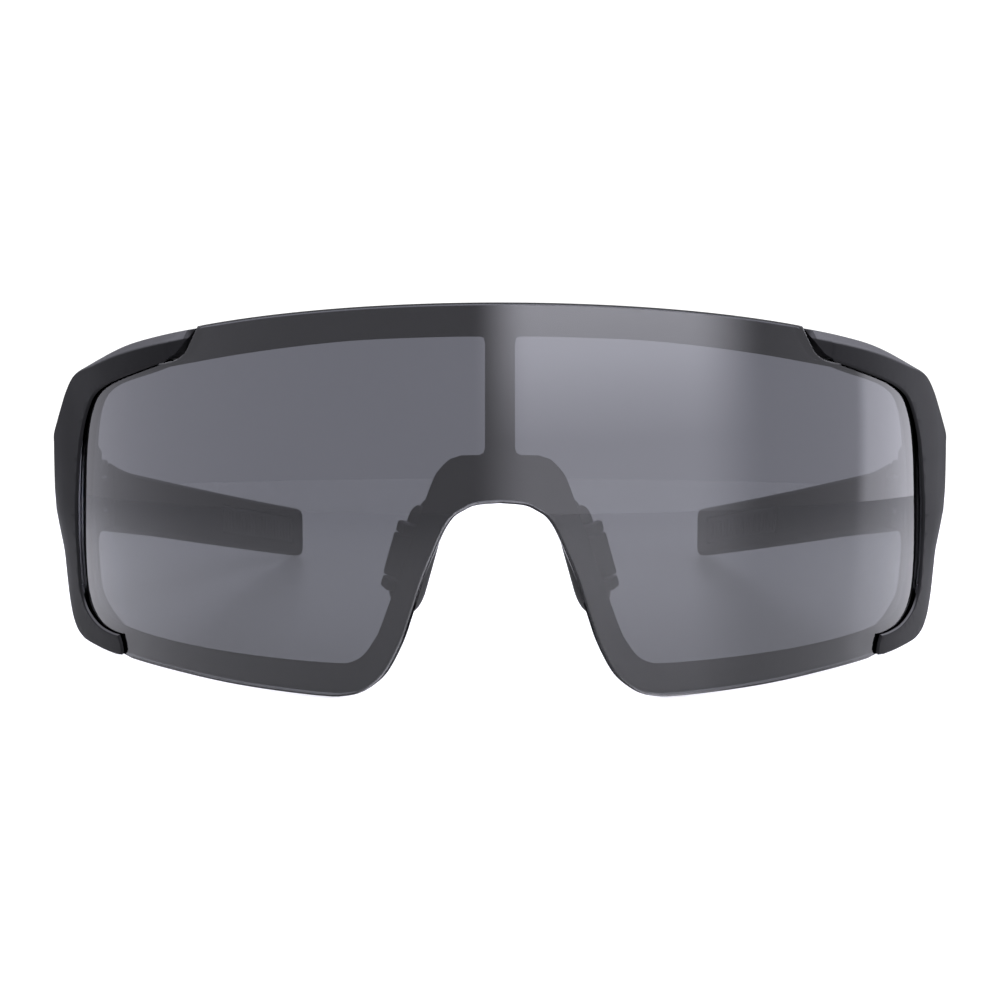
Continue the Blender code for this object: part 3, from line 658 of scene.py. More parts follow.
def hinge_station():
    """Where the plan curve passes the hinge."""
    rest = TURN_RADIUS * (math.pi / 2 - TURN_START / LENS_RADIUS)
    return TURN_START + rest + HINGE_Y - plan(TURN_START + rest)[1]


STATION = hinge_station()


def ease(low, high, value):
    t = min(1.0, max(0.0, (value - low) / (high - low)))
    return t * t * (3.0 - 2.0 * t)


def bracket_outline(chamfered, opening=0.0):
    """Lip, skirt and crest as one loop. The crest moves inwards on the front face, and
    behind the lens the lip opens outwards so that it stays out of the window's view."""
    end = STATION - 0.15
    lip = smooth([
        (45.0, 20.2), (52.6, 18.5), (58.6, 17.1), (63.6, 16.0), (67.6, 15.0), (70.8, 13.9),
        (73.1, 12.6), (75.0, 10.5), (76.6, 7.7), (77.9, 3.6), (78.8, -1.0), (79.7, -6.0),
        (80.3, -10.9), (80.7, -16.0), (80.3, -18.6), (78.9, -20.6), (76.6, -22.0), (73.8, -22.9),
        (71.0, -23.3), (68.6, -23.45), (66.9, -23.4)])
    lip += [(66.35, -24.7), (66.25, -26.0), (66.9, -26.6)]
    skirt = smooth([
        (68.6, -26.75), (73.5, -26.65), (79.5, -26.35), (82.0, -26.0), (84.5, -25.0),
        (86.8, -22.8), (88.2, -19.3), (88.8, -15.5), (90.2, -12.4), (92.8, -10.8),
        (96.0, -10.2), (end, -10.1)])
    behind = [
        (end, 1.9), (95.2, 4.0), (91.5, 6.7), (88.6, 8.9), (86.9, 11.3), (85.0, 14.2),
        (82.4, 16.5), (79.2, 17.8), (74.0, 19.0), (65.4, 20.9), (57.0, 22.2), (50.0, 23.1),
        (45.0, 23.6)]
    before = [
        (end, 1.2), (95.0, 3.3), (91.3, 6.0), (88.4, 8.1), (86.6, 10.5), (84.6, 13.4),
        (82.0, 15.6), (78.6, 16.8), (73.0, 17.7), (64.6, 19.4), (56.7, 20.7), (49.8, 21.6),
        (45.0, 22.2)]
    lip = [
        (s + opening * ease(*REAR_OPEN_LOW, v) * (1 - ease(*REAR_OPEN_HIGH, v)), v) for s, v in lip]
    return lip + skirt + smooth(before if chamfered else behind)


def swelling(s, v):
    """How far the front face stands out near the hinge, less its dip at the upper tip."""
    beside = 1.0 - BOSS_FALL * ease(*BOSS_BAND, abs(v - BOSS_MIDDLE))
    grown = ease(SWELL_START, SWELL_END, s)
    grown *= beside + (1.0 - beside) * ease(BOSS_JOIN, SWELL_END, s)
    return BOSS_SWELL * grown - DIP_SLOPE * max(0.0, DIP_START - s)


def swell_front(s, v, n):
    share = max(0.0, (n - CHAMFER_BACK) / (LIP_FRONT - CHAMFER_BACK))
    return n + swelling(s, v) * share


def round_step(radius, degrees):
    """How far a rounded edge has drawn in from each of its two faces, at an angle."""
    angle = math.radians(degrees)
    return radius * (1 - math.sin(angle)), radius * (1 - math.cos(angle))


def bracket_rings():
    """Sections of the bracket from its rounded front face to its rounded rear one."""
    front, back = bracket_outline(True), bracket_outline(False)

    def outline_at(level):
        share = min(1.0, (LIP_FRONT - level) / (LIP_FRONT - CHAMFER_BACK))
        return [(a + (c - a) * share, b + (d - b) * share) for (a, b), (c, d) in zip(front, back)]

    rings = []
    for angle in (0.0, 22.5, 45.0, 67.5, 90.0):
        pull, drop = round_step(BRACKET_ROUND, angle)
        here = moved(outline_at(LIP_FRONT - drop), -pull)
        rings.append([(s, drop - LIP_FRONT, v) for s, v in here])
    for level in (CHAMFER_BACK + CHAMFER_SOFT, CHAMFER_BACK - CHAMFER_SOFT):
        rings.append([(s, -level, v) for s, v in outline_at(level)])
    land = bracket_outline(False, REAR_OPEN_NEAR)
    rings.append([(s, REAR_LAND - GROOVE_BACK, v) for s, v in land])
    rear = bracket_outline(False, REAR_OPEN_FAR)
    for angle in (90.0, 60.0, 30.0, 0.0):
        pull, drop = round_step(BRACKET_ROUND, angle)
        rings.append([(s, -BRACKET_BACK - drop, v) for s, v in moved(rear, -pull)])
    return rings


SEAT_THICK = 1.25
SEAT_LONGER = 0.5
SEAT_LEVELS = (0.2, -2.2)
SEAT_LOW, SEAT_HIGH = -18.0, 9.0
HINGE_ROOM_FRONT = 0.8
BORE_FLOOR = 0.8  # left under the bore, in the lower lug
DRILL_END = 9.0


def gasket_strip(gap, thick, longer=0.0):
    """A strip beside the lens's end, a gap outside its edge."""
    near = [
        p for p in moved(lens_outline(), gap) if p[0] > HINGE_X and SEAT_LOW < p[1] < SEAT_HIGH]
    if longer:
        first, last = Vector(near[0]), Vector(near[-1])
        near.insert(0, tuple(first + (first - Vector(near[1])).normalized() * longer))
        near.append(tuple(last + (last - Vector(near[-2])).normalized() * longer))
    return [(s + thick, v) for s, v in near] + list(reversed(near))


def bracket_mesh():
    """The bracket, cut for the lens, the gasket, the lens's notch and the hinge."""
    notch_side = [(40.0, 15.0), (52.6, 15.0), (52.6, 18.5), (50.9, 19.6), (49.9, 20.9)]
    notch_side += [(49.0, 22.2), (48.2, 23.4), (47.8, 26.0), (40.0, 26.0)]
    start, end = STATION - KNUCKLE_RADIUS - 0.5, STATION + 4.0
    hinge_room = [(start, -14.0), (end, -14.0), (end, 6.0), (start, 6.0)]
    flat = combined(loft(bracket_rings()), [
        ("DIFFERENCE", flat_slab(moved(lens_outline(), GROOVE_CLEAR), GROOVE_FRONT, GROOVE_BACK)),
        ("DIFFERENCE", flat_slab(gasket_strip(0.0, SEAT_THICK, SEAT_LONGER), *SEAT_LEVELS)),
        ("DIFFERENCE", flat_slab(notch_side, LIP_FRONT + 2.0, GROOVE_BACK)),
        ("DIFFERENCE", flat_slab(hinge_room, HINGE_ROOM_FRONT, BRACKET_BACK - 2.0)),
    ])
    centre = behind_front(HINGE_X, HINGE_Y, HINGE_Z)
    steps = []
    for low, high in ((LUG_START, LUG_TOP), (-LUG_TOP, -LUG_START)):
        lug = soft_drum(centre, UP, KNUCKLE_RADIUS, low, high, LUG_SOFT)
        arm = block(
            (HINGE_X - KNUCKLE_RADIUS, HINGE_Y - DEPTH / 2 - LUG_ARM, HINGE_Z + low),
            (HINGE_X + KNUCKLE_RADIUS, HINGE_Y - DEPTH / 2, HINGE_Z + high))
        steps.append(("UNION", combined(lug, [("UNION", arm)])))
    for radius, low in (
        (SCREW_RADIUS + GAP, BORE_FLOOR - LUG_TOP),
        (SCREW_HEAD_RADIUS + GAP, LUG_TOP - SCREW_HEAD_TALL - GAP)):
        steps.append(("DIFFERENCE", drill(centre, UP, radius, low, DRILL_END)))
    return combined(on_chart(flat, swell_front), steps)


SATIN_PLAIN, SATIN_PAINTED_HIGHLIGHT = (0.007, 0.007, 0.0075), (0.075, 0.075, 0.078)
GRAIN_DEPTH = 0.00003
satin, satin_tree, satin_shader = finish_material("satin_nylon", SATIN_PLAIN, 0.45)
satin_shader.inputs["Specular IOR Level"].default_value = 0.04


def relief(tree, shader, height, strength, depth):
    """Fine bumps in the surface."""
    bump = tree.add("ShaderNodeBump")
    for entry, socket in ((height, "Height"), (strength, "Strength"), (depth, "Distance")):
        tree.join(entry, bump, socket)
    tree.join(bump.outputs[0], shader, "Normal")


def moulded_grain(tree, shader, scale, strength, gloss_spread):
    """Fine moulded texture: bumps, and a slow change of gloss over the surface."""
    uneven_gloss(tree, shader, noise(tree, 60.0, 2.0), gloss_spread)
    relief(tree, shader, noise(tree, scale, 3.0), strength, GRAIN_DEPTH)


moulded_grain(satin_tree, satin_shader, 5200.0, 0.12, 0.03)
# Painted highlight: faces that look up get a lighter base colour, standing in for the light that
# falls on the top chamfers.
facing_up = satin_tree.add("ShaderNodeSeparateXYZ")
satin_tree.join(satin_tree.add("ShaderNodeTexCoord").outputs["Normal"], facing_up, 0)
painted_top_highlight = satin_tree.step(facing_up.outputs[2], 0.35, 0.75)
tone = satin_tree.mix(painted_top_highlight, (*SATIN_PLAIN, 1.0), (*SATIN_PAINTED_HIGHLIGHT, 1.0))
satin_tree.join(tone, satin_shader, "Base Color")

for side, mesh in both_sides(bracket_mesh()):
    piece = new_piece(f"side_bracket_{side}", mesh, satin)
    soft_shade(piece)
    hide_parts(f"bracket_{side}")
    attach(piece, "front")

# ------------------------------------------------------------------ gaskets
# A strip of black rubber pressed into each bracket beside the lens's end, so that the
# lens doesn't rattle in its groove.

GASKET_GAP = 0.3
GASKET_THICK = 0.65
GASKET_FRONT, GASKET_BACK = -0.1, -1.9

rubber, rubber_tree, rubber_shader = finish_material("black_rubber", (0.010, 0.010, 0.010), 0.76)
moulded_grain(rubber_tree, rubber_shader, 2600.0, 0.6, 0.06)
for side, sign in (("left", 1.0), ("right", -1.0)):
    strip = [(s * sign, v) for s, v in gasket_strip(GASKET_GAP, GASKET_THICK)]
    piece = sheet_body(f"gasket_{side}", strip, [], GASKET_FRONT, GASKET_BACK, 0.15)
    piece.data.materials.append(rubber)
    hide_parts(f"lens_gasket_{side}")
    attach(piece, "front")

# ------------------------------------------------------------------ hinge hardware
# On each hinge axis: a steel screw with a socket in its head, a steel washer over and
# under the temple's tongue, and a brass bush pressed into the tongue's bore.

MARK_DEPTH = 0.00001
SOCKET_RADIUS = 0.62
SOCKET_DEEP = 0.6
WASHER_LEVEL = TONGUE_HALF + 0.45
WASHER_RADIUS = KNUCKLE_RADIUS - 0.2
WASHER_HALF = 0.2
BUSH_RADIUS = 1.6


def lathe_marks(tree, shader, across, gloss_spread):
    """Fine rings that a turning tool leaves on metal, as changes of gloss and height."""
    marks = tree.add("ShaderNodeTexWave", wave_type="BANDS", bands_direction="Z")
    tree.join(tree.add("ShaderNodeTexCoord").outputs["Object"], marks, "Vector")
    tree.join(across, marks, "Scale")
    tree.join(1.5, marks, "Distortion")
    uneven_gloss(tree, shader, marks.outputs["Fac"], gloss_spread, 0.0, 1.0)
    relief(tree, shader, marks.outputs["Fac"], 0.25, MARK_DEPTH)


steel, steel_tree, steel_shader = finish_material("turned_steel", (0.60, 0.60, 0.62), 0.27, 1.0)
lathe_marks(steel_tree, steel_shader, 2400.0, 0.07)
brass, brass_tree, brass_shader = finish_material("turned_brass", (0.62, 0.42, 0.17), 0.31, 1.0)
lathe_marks(brass_tree, brass_shader, 1800.0, 0.07)


def ring_body(outer, inner, half, soft):
    """A ring round Z with softened corners."""
    profile = [
        (outer - soft, -half), (outer, soft - half), (outer, half - soft), (outer - soft, half),
        (inner + soft, half), (inner, half - soft), (inner, soft - half), (inner + soft, -half)]
    return turned_body(Vector(), UP, profile, 48, joined=True)


def screw_body():
    """A cheese-head screw round Z, with a six-sided socket, its axis's middle at zero."""
    head_low = LUG_TOP - SCREW_HEAD_TALL
    soft = 0.18
    shank = turned_body(Vector(), UP, [
        (SCREW_RADIUS - 0.15, 1.1 - LUG_TOP), (SCREW_RADIUS, 1.25 - LUG_TOP),
        (SCREW_RADIUS, head_low), (SCREW_HEAD_RADIUS - 0.05, head_low),
        (SCREW_HEAD_RADIUS, head_low + 0.05), (SCREW_HEAD_RADIUS, LUG_TOP - soft),
        (SCREW_HEAD_RADIUS - 0.3 * soft, LUG_TOP - 0.3 * soft),
        (SCREW_HEAD_RADIUS - soft, LUG_TOP)])
    socket = turned_body(Vector(), UP, [
        (SOCKET_RADIUS, LUG_TOP - SOCKET_DEEP), (SOCKET_RADIUS, LUG_TOP - 0.06),
        (0.75, LUG_TOP + 0.1)], 6)
    return combined(shank, [("DIFFERENCE", socket)])


def part_setter(name, inputs, finish):
    """A node tree that sets a part at points and coats it, with its inlet and place nodes."""
    group = bpy.data.node_groups.new(f"set_{name}", "GeometryNodeTree")
    for label, kind in inputs:
        group.interface.new_socket(label, in_out="INPUT", socket_type=f"NodeSocket{kind}")
    group.interface.new_socket("Result", in_out="OUTPUT", socket_type="NodeSocketGeometry")
    tree = Tree(group)
    inlet, held = tree.add("NodeGroupInput"), tree.add("GeometryNodeObjectInfo")
    place = tree.add("GeometryNodeInstanceOnPoints")
    real = tree.add("GeometryNodeRealizeInstances")
    coat = tree.add("GeometryNodeSetMaterial")
    tree.join(inlet.outputs["Part"], held, "Object")
    tree.join(held.outputs["Geometry"], place, "Instance")
    tree.join(place.outputs[0], real, 0)
    tree.join(real.outputs[0], coat, "Geometry")
    tree.join(finish, coat, "Material")
    tree.join(coat.outputs[0], tree.add("NodeGroupOutput"), 0)
    return tree, inlet, place


def set_by(tree, name, guide, part, **sizes):
    """The mesh that the tree makes of the part, over a guide of points or lines."""
    pattern = new_piece(f"{name}_part", part)
    piece = new_piece(name, guide)
    setter = piece.modifiers.new("Set", "NODES")
    setter.node_group = tree.tree
    sockets = {item.name: item.identifier for item in tree.tree.interface.items_tree}
    setter[sockets["Part"]] = pattern
    for label, size in sizes.items():
        setter[sockets[label]] = size
    mesh = baked(piece)
    bpy.data.objects.remove(pattern, do_unlink=True)
    return mesh


def set_at(name, part, places, finish):
    """Copies of one small part set at several points, as one piece."""
    guide = bpy.data.meshes.new(f"{name}_spots")
    guide.from_pydata([tuple(place) for place in places], [], [])
    tree, inlet, place = part_setter(name, [("Spots", "Geometry"), ("Part", "Object")], finish)
    points = tree.add("GeometryNodeMeshToPoints")
    tree.join(inlet.outputs["Spots"], points, "Mesh")
    tree.join(points.outputs[0], place, "Points")
    piece = new_piece(name, set_by(tree, name, guide, part))
    soft_shade(piece)
    return piece


axes = {
    side: behind_front(sign * HINGE_X, HINGE_Y, HINGE_Z)
    for side, sign in (("left", 1), ("right", -1))
}
screws = set_at("hinge_screws", screw_body(), axes.values(), steel)
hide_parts("hinge_screw_left", "hinge_screw_right")
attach(screws, "front")

over_under = [UP * sense * WASHER_LEVEL * MM for sense in (1, -1)]
washers = set_at(
    "hinge_washers", ring_body(WASHER_RADIUS, SCREW_RADIUS + GAP, WASHER_HALF, 0.06),
    [axis + shift for axis in axes.values() for shift in over_under], steel)
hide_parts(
    "hinge_washer_upper_left", "hinge_washer_upper_right",
    "hinge_washer_lower_left", "hinge_washer_lower_right")
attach(washers, "front")

for side, axis in axes.items():
    sleeve = ring_body(BUSH_RADIUS, SCREW_RADIUS + GAP, TONGUE_HALF, 0.12)
    bush = set_at(f"hinge_bush_new_{side}", sleeve, [axis], brass)
    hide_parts(f"hinge_bush_{side}")
    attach(bush, f"temple_{side}")

# ------------------------------------------------------------------ temples
# One moulded nylon arm on each side, in the same satin finish. Its skin meets the
# bracket flush, it thins behind the hinge, drops to the ear and closes in on the head.

COVER_THICK = 2.0
ROOT_THICK = 7.5
ARM_THICK = 3.4
ARM_CORNER = 1.3
TIP_ROUND = 2.0
THIN_OVER = 30.0  # how far behind the hinge the arm goes on thinning
TONGUE_SOFT = 0.25
TONGUE_BORE = 1.9
COVER_EDGE = 0.9
GRIP_START, GRIP_END = 56.0, 97.0
GRIP_HEIGHT = 5.6
GRIP_POCKET = 1.1


def arm_top(y):
    flare = max(0.0, (70.0 - y) / 14.0)
    return 28.664 - 0.172 * (y - HINGE_Y) + 1.6 * flare * flare


def arm_bottom(y):
    return 19.3 * (DEPTH - TIP_ROUND - y) / (DEPTH - TIP_ROUND - 50.0)


def arm_inner(y):
    back = y - HINGE_Y
    return HINGE_X - KNUCKLE_RADIUS - 0.13 * back - 0.0006 * back * back


def arm_thick(y):
    thinned = ease(HINGE_Y, HINGE_Y + THIN_OVER, y)
    return ARM_THICK + (ROOT_THICK - ARM_THICK) * (1.0 - thinned)


def round_box(low, high, radius, steps):
    """A rectangle between two corners, with its own corners rounded."""
    near, far = [v + radius for v in low], [v - radius for v in high]
    ring = []
    for x, y, turn_by in (
        (far[0], far[1], 0), (near[0], far[1], 90),
        (near[0], near[1], 180), (far[0], near[1], 270)):
        for k in range(steps):
            angle = math.radians(turn_by + 90 * k / (steps - 1))
            ring.append((x + radius * math.cos(angle), y + radius * math.sin(angle)))
    return ring


def arm_ring(y, pull):
    """A cross-section of the arm with round corners."""
    inner = arm_inner(y) + 0.4 * pull
    outer = arm_inner(y) + arm_thick(y) - 0.4 * pull
    radius = min(ARM_CORNER, (outer - inner) / 2 - 0.05)
    ring = round_box((inner, arm_bottom(y) + pull), (outer, arm_top(y) - pull), radius, 7)
    return [behind_front(x, y, z) for x, z in ring]


def arm_strip(start, end, half, low, high, count=24):
    """A strip that follows the arm's inner face, from low to high in depth."""
    rings = []
    for k in range(count + 1):
        y = HINGE_Y + start + (end - start) * k / count
        middle = (arm_top(y) + arm_bottom(y)) / 2
        corners = [(low, -half), (high, -half), (high, half), (low, half)]
        rings.append([behind_front(arm_inner(y) + x, y, middle + z) for x, z in corners])
    return loft(rings)


def temple_mesh():
    start = HINGE_Y + KNUCKLE_RADIUS + 0.5
    ends = [(start, 0.35), (start + 0.12, 0.12), (start + 0.4, 0.0)]
    ends += [(start + 0.4 + (DEPTH - TIP_ROUND - start - 0.4) * k / 44, 0.0) for k in range(1, 45)]
    for angle in (15, 30, 45, 60, 75, 90):
        reach = math.sin(math.radians(angle))
        pull = TIP_ROUND * (1 - math.sqrt(1 - reach * reach)) * 0.98
        ends.append((DEPTH - TIP_ROUND * (1 - reach), pull))
    body = loft([arm_ring(y, pull) for y, pull in ends])
    centre = behind_front(HINGE_X, HINGE_Y, HINGE_Z)
    tongue = soft_drum(centre, UP, KNUCKLE_RADIUS, -TONGUE_HALF, TONGUE_HALF, TONGUE_SOFT)
    root_y = HINGE_Y - DEPTH / 2
    root = block(
        (HINGE_X - KNUCKLE_RADIUS + 0.15, root_y, HINGE_Z - TONGUE_HALF),
        (HINGE_X + KNUCKLE_RADIUS, root_y + 6.0, HINGE_Z + TONGUE_HALF))
    outside = HINGE_X - KNUCKLE_RADIUS + ROOT_THICK
    inside = outside - COVER_THICK
    rings = []
    for y in [HINGE_Y + 0.15 + 0.45 * k for k in range(10)]:
        low, high = arm_bottom(y), arm_top(y)
        corners = [(inside, low), (outside - 0.5, low + 0.1)]
        corners += [(outside - 0.15, low + 0.4), (outside, low + COVER_EDGE)]
        corners += [(outside, high - COVER_EDGE), (outside - 0.15, high - 0.4)]
        corners += [(outside - 0.5, high - 0.1), (inside, high)]
        rings.append([behind_front(x, y, z) for x, z in corners])
    return combined(body, [
        ("UNION", tongue),
        ("UNION", root),
        ("UNION", loft(rings)),
        ("DIFFERENCE", drill(centre, UP, TONGUE_BORE, -4.0, 4.0)),
        ("DIFFERENCE", arm_strip(GRIP_START, GRIP_END, GRIP_HEIGHT / 2 + GAP, -1.0, GRIP_POCKET)),
    ])


for side, mesh in both_sides(temple_mesh()):
    piece = new_piece(f"arm_{side}", mesh, satin)
    soft_shade(piece)
    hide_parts(f"temple_{side}")
    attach(piece, f"temple_{side}")

# ------------------------------------------------------------------ temple grips
# A rubber insert glued in a pocket on the inner face of each arm, with short upright
# ribs that keep the arm from slipping on the head.

RIB_PITCH = 1.9
RIB_WIDTH = 0.9
RIB_PROUD = 0.3
RIB_ROOT = 0.25
GRIP_END_ROUND = 1.2
GRIP_BASE = 0.05  # how far the plain part stands out of the pocket


def rib_body():
    """One rib with a round top: X out of the insert, Y along the arm, Z up."""
    half = GRIP_HEIGHT / 2 - 0.8
    rings = []
    for z, shrink in ((-half, 0.25), (-half + 0.35, 0.0), (half - 0.35, 0.0), (half, 0.25)):
        wide, proud = RIB_WIDTH / 2 - shrink, RIB_PROUD - 0.6 * shrink
        angles = [math.pi * k / 6 for k in range(7)]
        ring = [(-proud * math.sin(angle), wide * math.cos(angle)) for angle in angles]
        ring += [(RIB_ROOT, -wide), (RIB_ROOT, wide)]
        rings.append([Vector((x, y, z)) * MM for x, y in ring])
    return loft(rings)


def grip_base():
    """The plain insert: a strip that follows the arm, with soft edges."""
    rings = []
    count = 60
    first, last = GRIP_START + GAP, GRIP_END - GAP
    for k in range(count + 1):
        along = first + (last - first) * k / count
        near_end = min(along - first, last - along)
        close = max(0.0, GRIP_END_ROUND - near_end)
        narrow = GRIP_END_ROUND - math.sqrt(max(0.0, GRIP_END_ROUND**2 - close * close))
        y = HINGE_Y + along
        half = GRIP_HEIGHT / 2 - 0.98 * narrow
        middle = (arm_top(y) + arm_bottom(y)) / 2
        out = -GRIP_BASE
        ring = [(GRIP_POCKET - GAP, half - 0.15), (0.1, half), (out + 0.08, half - 0.05)]
        ring += [(out, half - 0.25), (out, 0.25 - half), (out + 0.08, 0.05 - half)]
        ring += [(0.1, -half), (GRIP_POCKET - GAP, 0.15 - half)]
        rings.append([behind_front(arm_inner(y) + x, y, middle + z) for x, z in ring])
    return loft(rings)


def ribs_along(name, rib, line, finish):
    """Ribs set at a steady pitch along a line."""
    guide = bpy.data.meshes.new(f"{name}_line")
    guide.from_pydata([tuple(p) for p in line], [(k, k + 1) for k in range(len(line) - 1)], [])
    tree, inlet, place = part_setter(
        name, [("Line", "Geometry"), ("Part", "Object"), ("Pitch", "Float")], finish)
    curve = tree.add("GeometryNodeMeshToCurve")
    steps = tree.add("GeometryNodeCurveToPoints", mode="LENGTH")
    face = tree.add("FunctionNodeAlignRotationToVector", axis="Y", pivot_axis="Z")
    tree.join(inlet.outputs["Line"], curve, "Mesh")
    tree.join(inlet.outputs["Pitch"], steps, "Length")
    tree.join(curve.outputs[0], steps, "Curve")
    tree.join(steps.outputs["Points"], place, "Points")
    tree.join(steps.outputs["Tangent"], face, "Vector")
    tree.join(face.outputs[0], place, "Rotation")
    return set_by(tree, name, guide, rib, Pitch=RIB_PITCH * MM)


def grip_line():
    places = []
    for k in range(41):
        y = HINGE_Y + GRIP_START + 2.2 + (GRIP_END - GRIP_START - 4.4) * k / 40
        middle = (arm_top(y) + arm_bottom(y)) / 2
        places.append(behind_front(arm_inner(y) - GRIP_BASE, y, middle))
    return places


ribs = ribs_along("grip_ribs", rib_body(), grip_line(), rubber)
base = grip_base()
base.from_mesh(ribs)
left_grip = bpy.data.meshes.new("grip")
base.to_mesh(left_grip)
base.free()
for side, mesh in both_sides(left_grip):
    piece = new_piece(f"arm_grip_{side}", mesh, rubber)
    soft_shade(piece, 40.0)
    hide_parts(f"temple_grip_{side}")
    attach(piece, f"temple_{side}")

# ------------------------------------------------------------------ nose clip
# A moulded clip that snaps on behind the nose cut. It follows the arch, and each leg
# ends in two small ears that hold a pin for the pad.

PAD_FACE_X, PAD_FRONT_Y, PAD_DROP = 8.75, 7.1, 9.8
PAD_LENGTH = 16.6
PAD_WIDTH = 9.0
PAD_THICK = 2.0
PAD_ROUND = 1.15
PAD_CLEAR = 0.5  # kept back from the clip, for when the pad is turned
CORE_THICK = 1.2
PIN_RADIUS = 0.6
SLEEVE_RADIUS = 1.4
SLEEVE_HALF = 3.0
EAR_RADIUS = 1.3
EAR_TALL = 1.4
EAR_ARM = 3.0
CLIP_LEVELS = [(-2.9, 0.35), (-3.0, 0.1), (-3.25, 0.0), (-4.4, 0.0), (-4.75, 0.15), (-4.9, 0.5)]


def pad_place():
    """The left pad's own frame: X away from the nose, Y backwards, Z up along the pad."""
    up = Vector((-0.27, 0.0, 0.963)).normalized()
    back = Vector((0.35, 0.937, 0.0))
    back = (back - up * back.dot(up)).normalized()
    place = Matrix.Identity(4)
    for column, axis in enumerate((back.cross(up).normalized(), back, up)):
        place.col[column].xyz = axis
    place.translation = behind_front(PAD_FACE_X, PAD_FRONT_Y, LENS_CENTRE_Z / MM - PAD_DROP)
    return place


PLACE = pad_place()
PIN_X = PAD_THICK + GAP + CORE_THICK + GAP + EAR_RADIUS
PIN_Y = 2.2
PIN_CENTRE = PLACE @ (Vector((PIN_X, PIN_Y, 0.0)) * MM)
PIN_UP = PLACE.to_3x3() @ Vector((0, 0, 1))


def clip_outline():
    inner = smooth([
        (0.0, 0.2), (3.6, 0.0), (5.6, -0.9), (7.4, -2.6), (9.1, -5.8), (11.2, -10.9),
        (12.9, -15.9)])
    outer = smooth([
        (15.7, -16.2), (14.2, -11.4), (11.6, -5.0), (9.2, 1.4), (8.0, 3.4), (6.2, 4.7),
        (3.0, 5.2), (0.0, 5.3)])
    half = inner + [(13.4, -16.6), (15.1, -16.7)] + outer
    return half + [(-s, v) for s, v in reversed(half[1:-1])]


def clip_mesh():
    outline = clip_outline()
    rings = []
    for level, pull in CLIP_LEVELS:
        rings.append([(s, -level, v) for s, v in moved(outline, -pull)])
    body = on_chart(baked(new_piece("clip_work", loft(rings))), None, 1.5, 2.0)
    hole = PIN_RADIUS + GAP
    start = SLEEVE_HALF + GAP
    steps = []
    for low, high in ((start, start + EAR_TALL), (-start - EAR_TALL, -start)):
        arm = block(
            (PIN_X - EAR_RADIUS, PIN_Y - EAR_ARM, low), (PIN_X + EAR_RADIUS, PIN_Y, high), PLACE)
        ear = combined(soft_drum(PIN_CENTRE, PIN_UP, EAR_RADIUS, low, high, 0.2, 32), [
            ("UNION", arm),
            ("DIFFERENCE", drill(PIN_CENTRE, PIN_UP, hole, -DRILL_END, DRILL_END, 32))])
        steps += [("UNION", ear), ("UNION", other_side(ear))]
    return combined(body, steps)


clip = new_piece("nose_clip", clip_mesh(), satin)
soft_shade(clip)
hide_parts("nose_bridge")
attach(clip, "front")

pin_half = SLEEVE_HALF + GAP + EAR_TALL
left_pin = soft_drum(PIN_CENTRE, PIN_UP, PIN_RADIUS, -pin_half, pin_half, 0.12, 32)
left_pin = baked(new_piece("pin_work", left_pin))
both_pins = bmesh.new()
both_pins.from_mesh(left_pin)
both_pins.from_mesh(other_side(left_pin))
pins = new_piece("pad_pins", both_pins, steel)
soft_shade(pins)
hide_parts("nose_pin_left", "nose_pin_right")
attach(pins, "front")

# ------------------------------------------------------------------ nose pads
# A soft rubber pad on each side, moulded over a stiff core that turns on its pin. The
# pad's face is crowned and its rim is round, and rows of small dimples give it grip.


PAD_CORNER = 3.6
DIMPLE_DEPTH = 0.0002
CORE_MARGIN = 1.2
CORE_BORE = 0.9


def pad_ring(depth, margin):
    """A section of the pad at a depth behind its face, inside its rim by a margin."""
    half = PAD_LENGTH / 2 - margin
    low, high = PAD_CLEAR + margin, PAD_WIDTH - margin
    radius = min(PAD_CORNER, (high - low) / 2 - 0.05, half - 0.05)
    ring = round_box((low, -half), (high, half), radius, 9)
    return [PLACE @ (Vector((depth, y, z)) * MM) for y, z in ring]


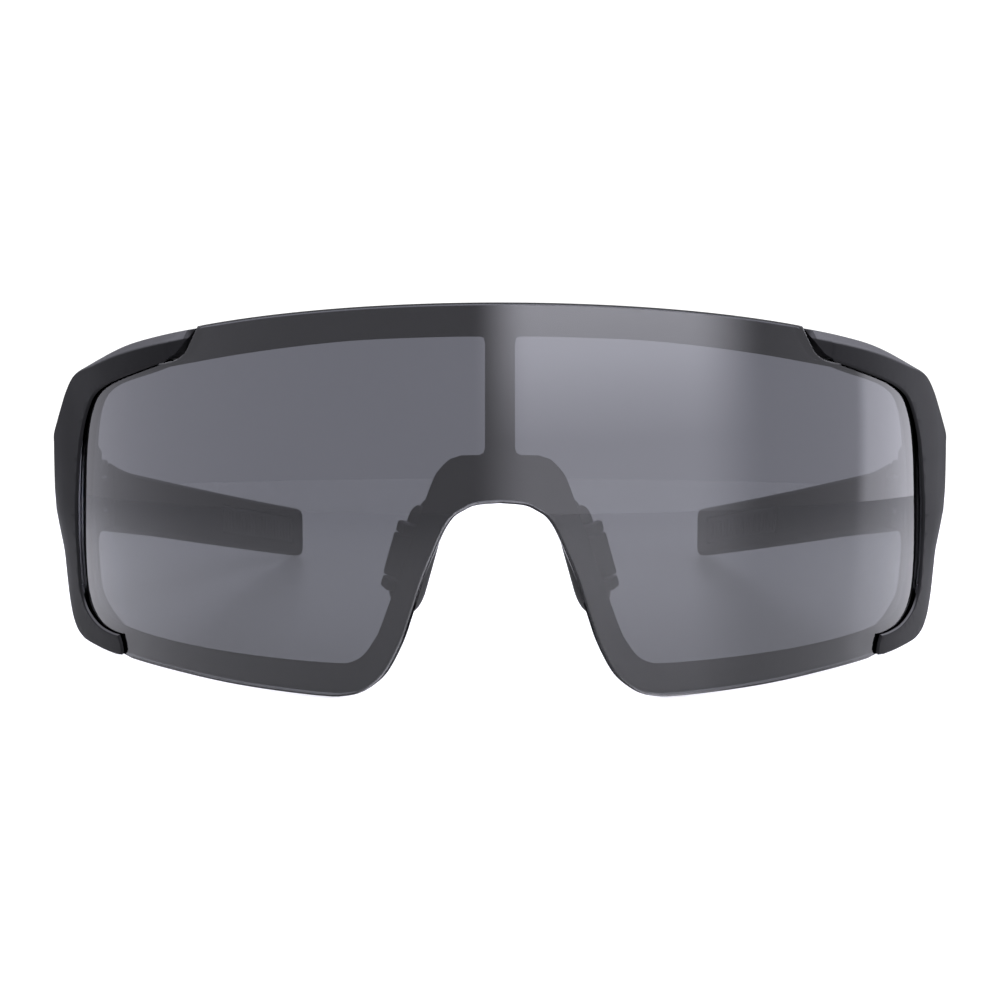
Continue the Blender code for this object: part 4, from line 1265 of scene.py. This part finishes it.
def soft_pad():
    rings = [pad_ring(depth, margin) for depth, margin in ((0.0, 3.6), (0.03, 2.7), (0.1, 1.9))]
    for angle in (78.0, 65.0, 50.0, 35.0, 20.0, 0.0):
        deeper, margin = round_step(PAD_ROUND, angle)
        rings.append(pad_ring(0.1 + deeper, margin))
    rings += [pad_ring(PAD_THICK - 0.25, 0.0), pad_ring(PAD_THICK - 0.07, 0.07)]
    rings.append(pad_ring(PAD_THICK, 0.25))
    return loft(rings)


def stiff_core():
    """The carrier behind the pad: a plate, a web and a sleeve bored for the pin."""
    low = PAD_THICK + GAP
    high = low + CORE_THICK
    rings = [
        pad_ring(low, CORE_MARGIN + 0.1), pad_ring(low + 0.1, CORE_MARGIN),
        pad_ring(high - 0.25, CORE_MARGIN), pad_ring(high, CORE_MARGIN + 0.25)]
    web = block((low + 0.4, PIN_Y - 0.9, -SLEEVE_HALF), (PIN_X, PIN_Y + 0.9, SLEEVE_HALF), PLACE)
    barrel = soft_drum(
        PIN_CENTRE, PIN_UP, SLEEVE_RADIUS, -SLEEVE_HALF, SLEEVE_HALF, 0.2, 32)
    hole = drill(PIN_CENTRE, PIN_UP, CORE_BORE, -SLEEVE_HALF - 1, SLEEVE_HALF + 1, 32)
    return combined(loft(rings), [("UNION", web), ("UNION", barrel), ("DIFFERENCE", hole)])


pad_rubber, pad_tree, pad_shader = finish_material("pad_rubber", (0.011, 0.011, 0.011), 0.7)
dots = pad_tree.add("ShaderNodeTexVoronoi")
pad_tree.join(pad_tree.add("ShaderNodeTexCoord").outputs["Object"], dots, "Vector")
pad_tree.join(900.0, dots, "Scale")
pad_tree.join(0.15, dots, "Randomness")
dimples = pad_tree.step(dots.outputs["Distance"], 0.1, 0.35)
relief(pad_tree, pad_shader, dimples, 0.5, DIMPLE_DEPTH)
uneven_tint(pad_tree, pad_shader, 200.0, 0.002)

pads = both_sides(baked(new_piece("pad_work", soft_pad())))
for (side, pad_mesh), (_, core_mesh) in zip(pads, both_sides(stiff_core())):
    piece = new_piece(f"soft_pad_{side}", pad_mesh, pad_rubber)
    soft_shade(piece, 50.0)
    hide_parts(f"nose_pad_{side}")
    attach(piece, f"nose_pad_{side}")
    piece = new_piece(f"pad_carrier_{side}", core_mesh, satin)
    soft_shade(piece)
    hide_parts(f"nose_pad_core_{side}")
    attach(piece, f"nose_pad_{side}")
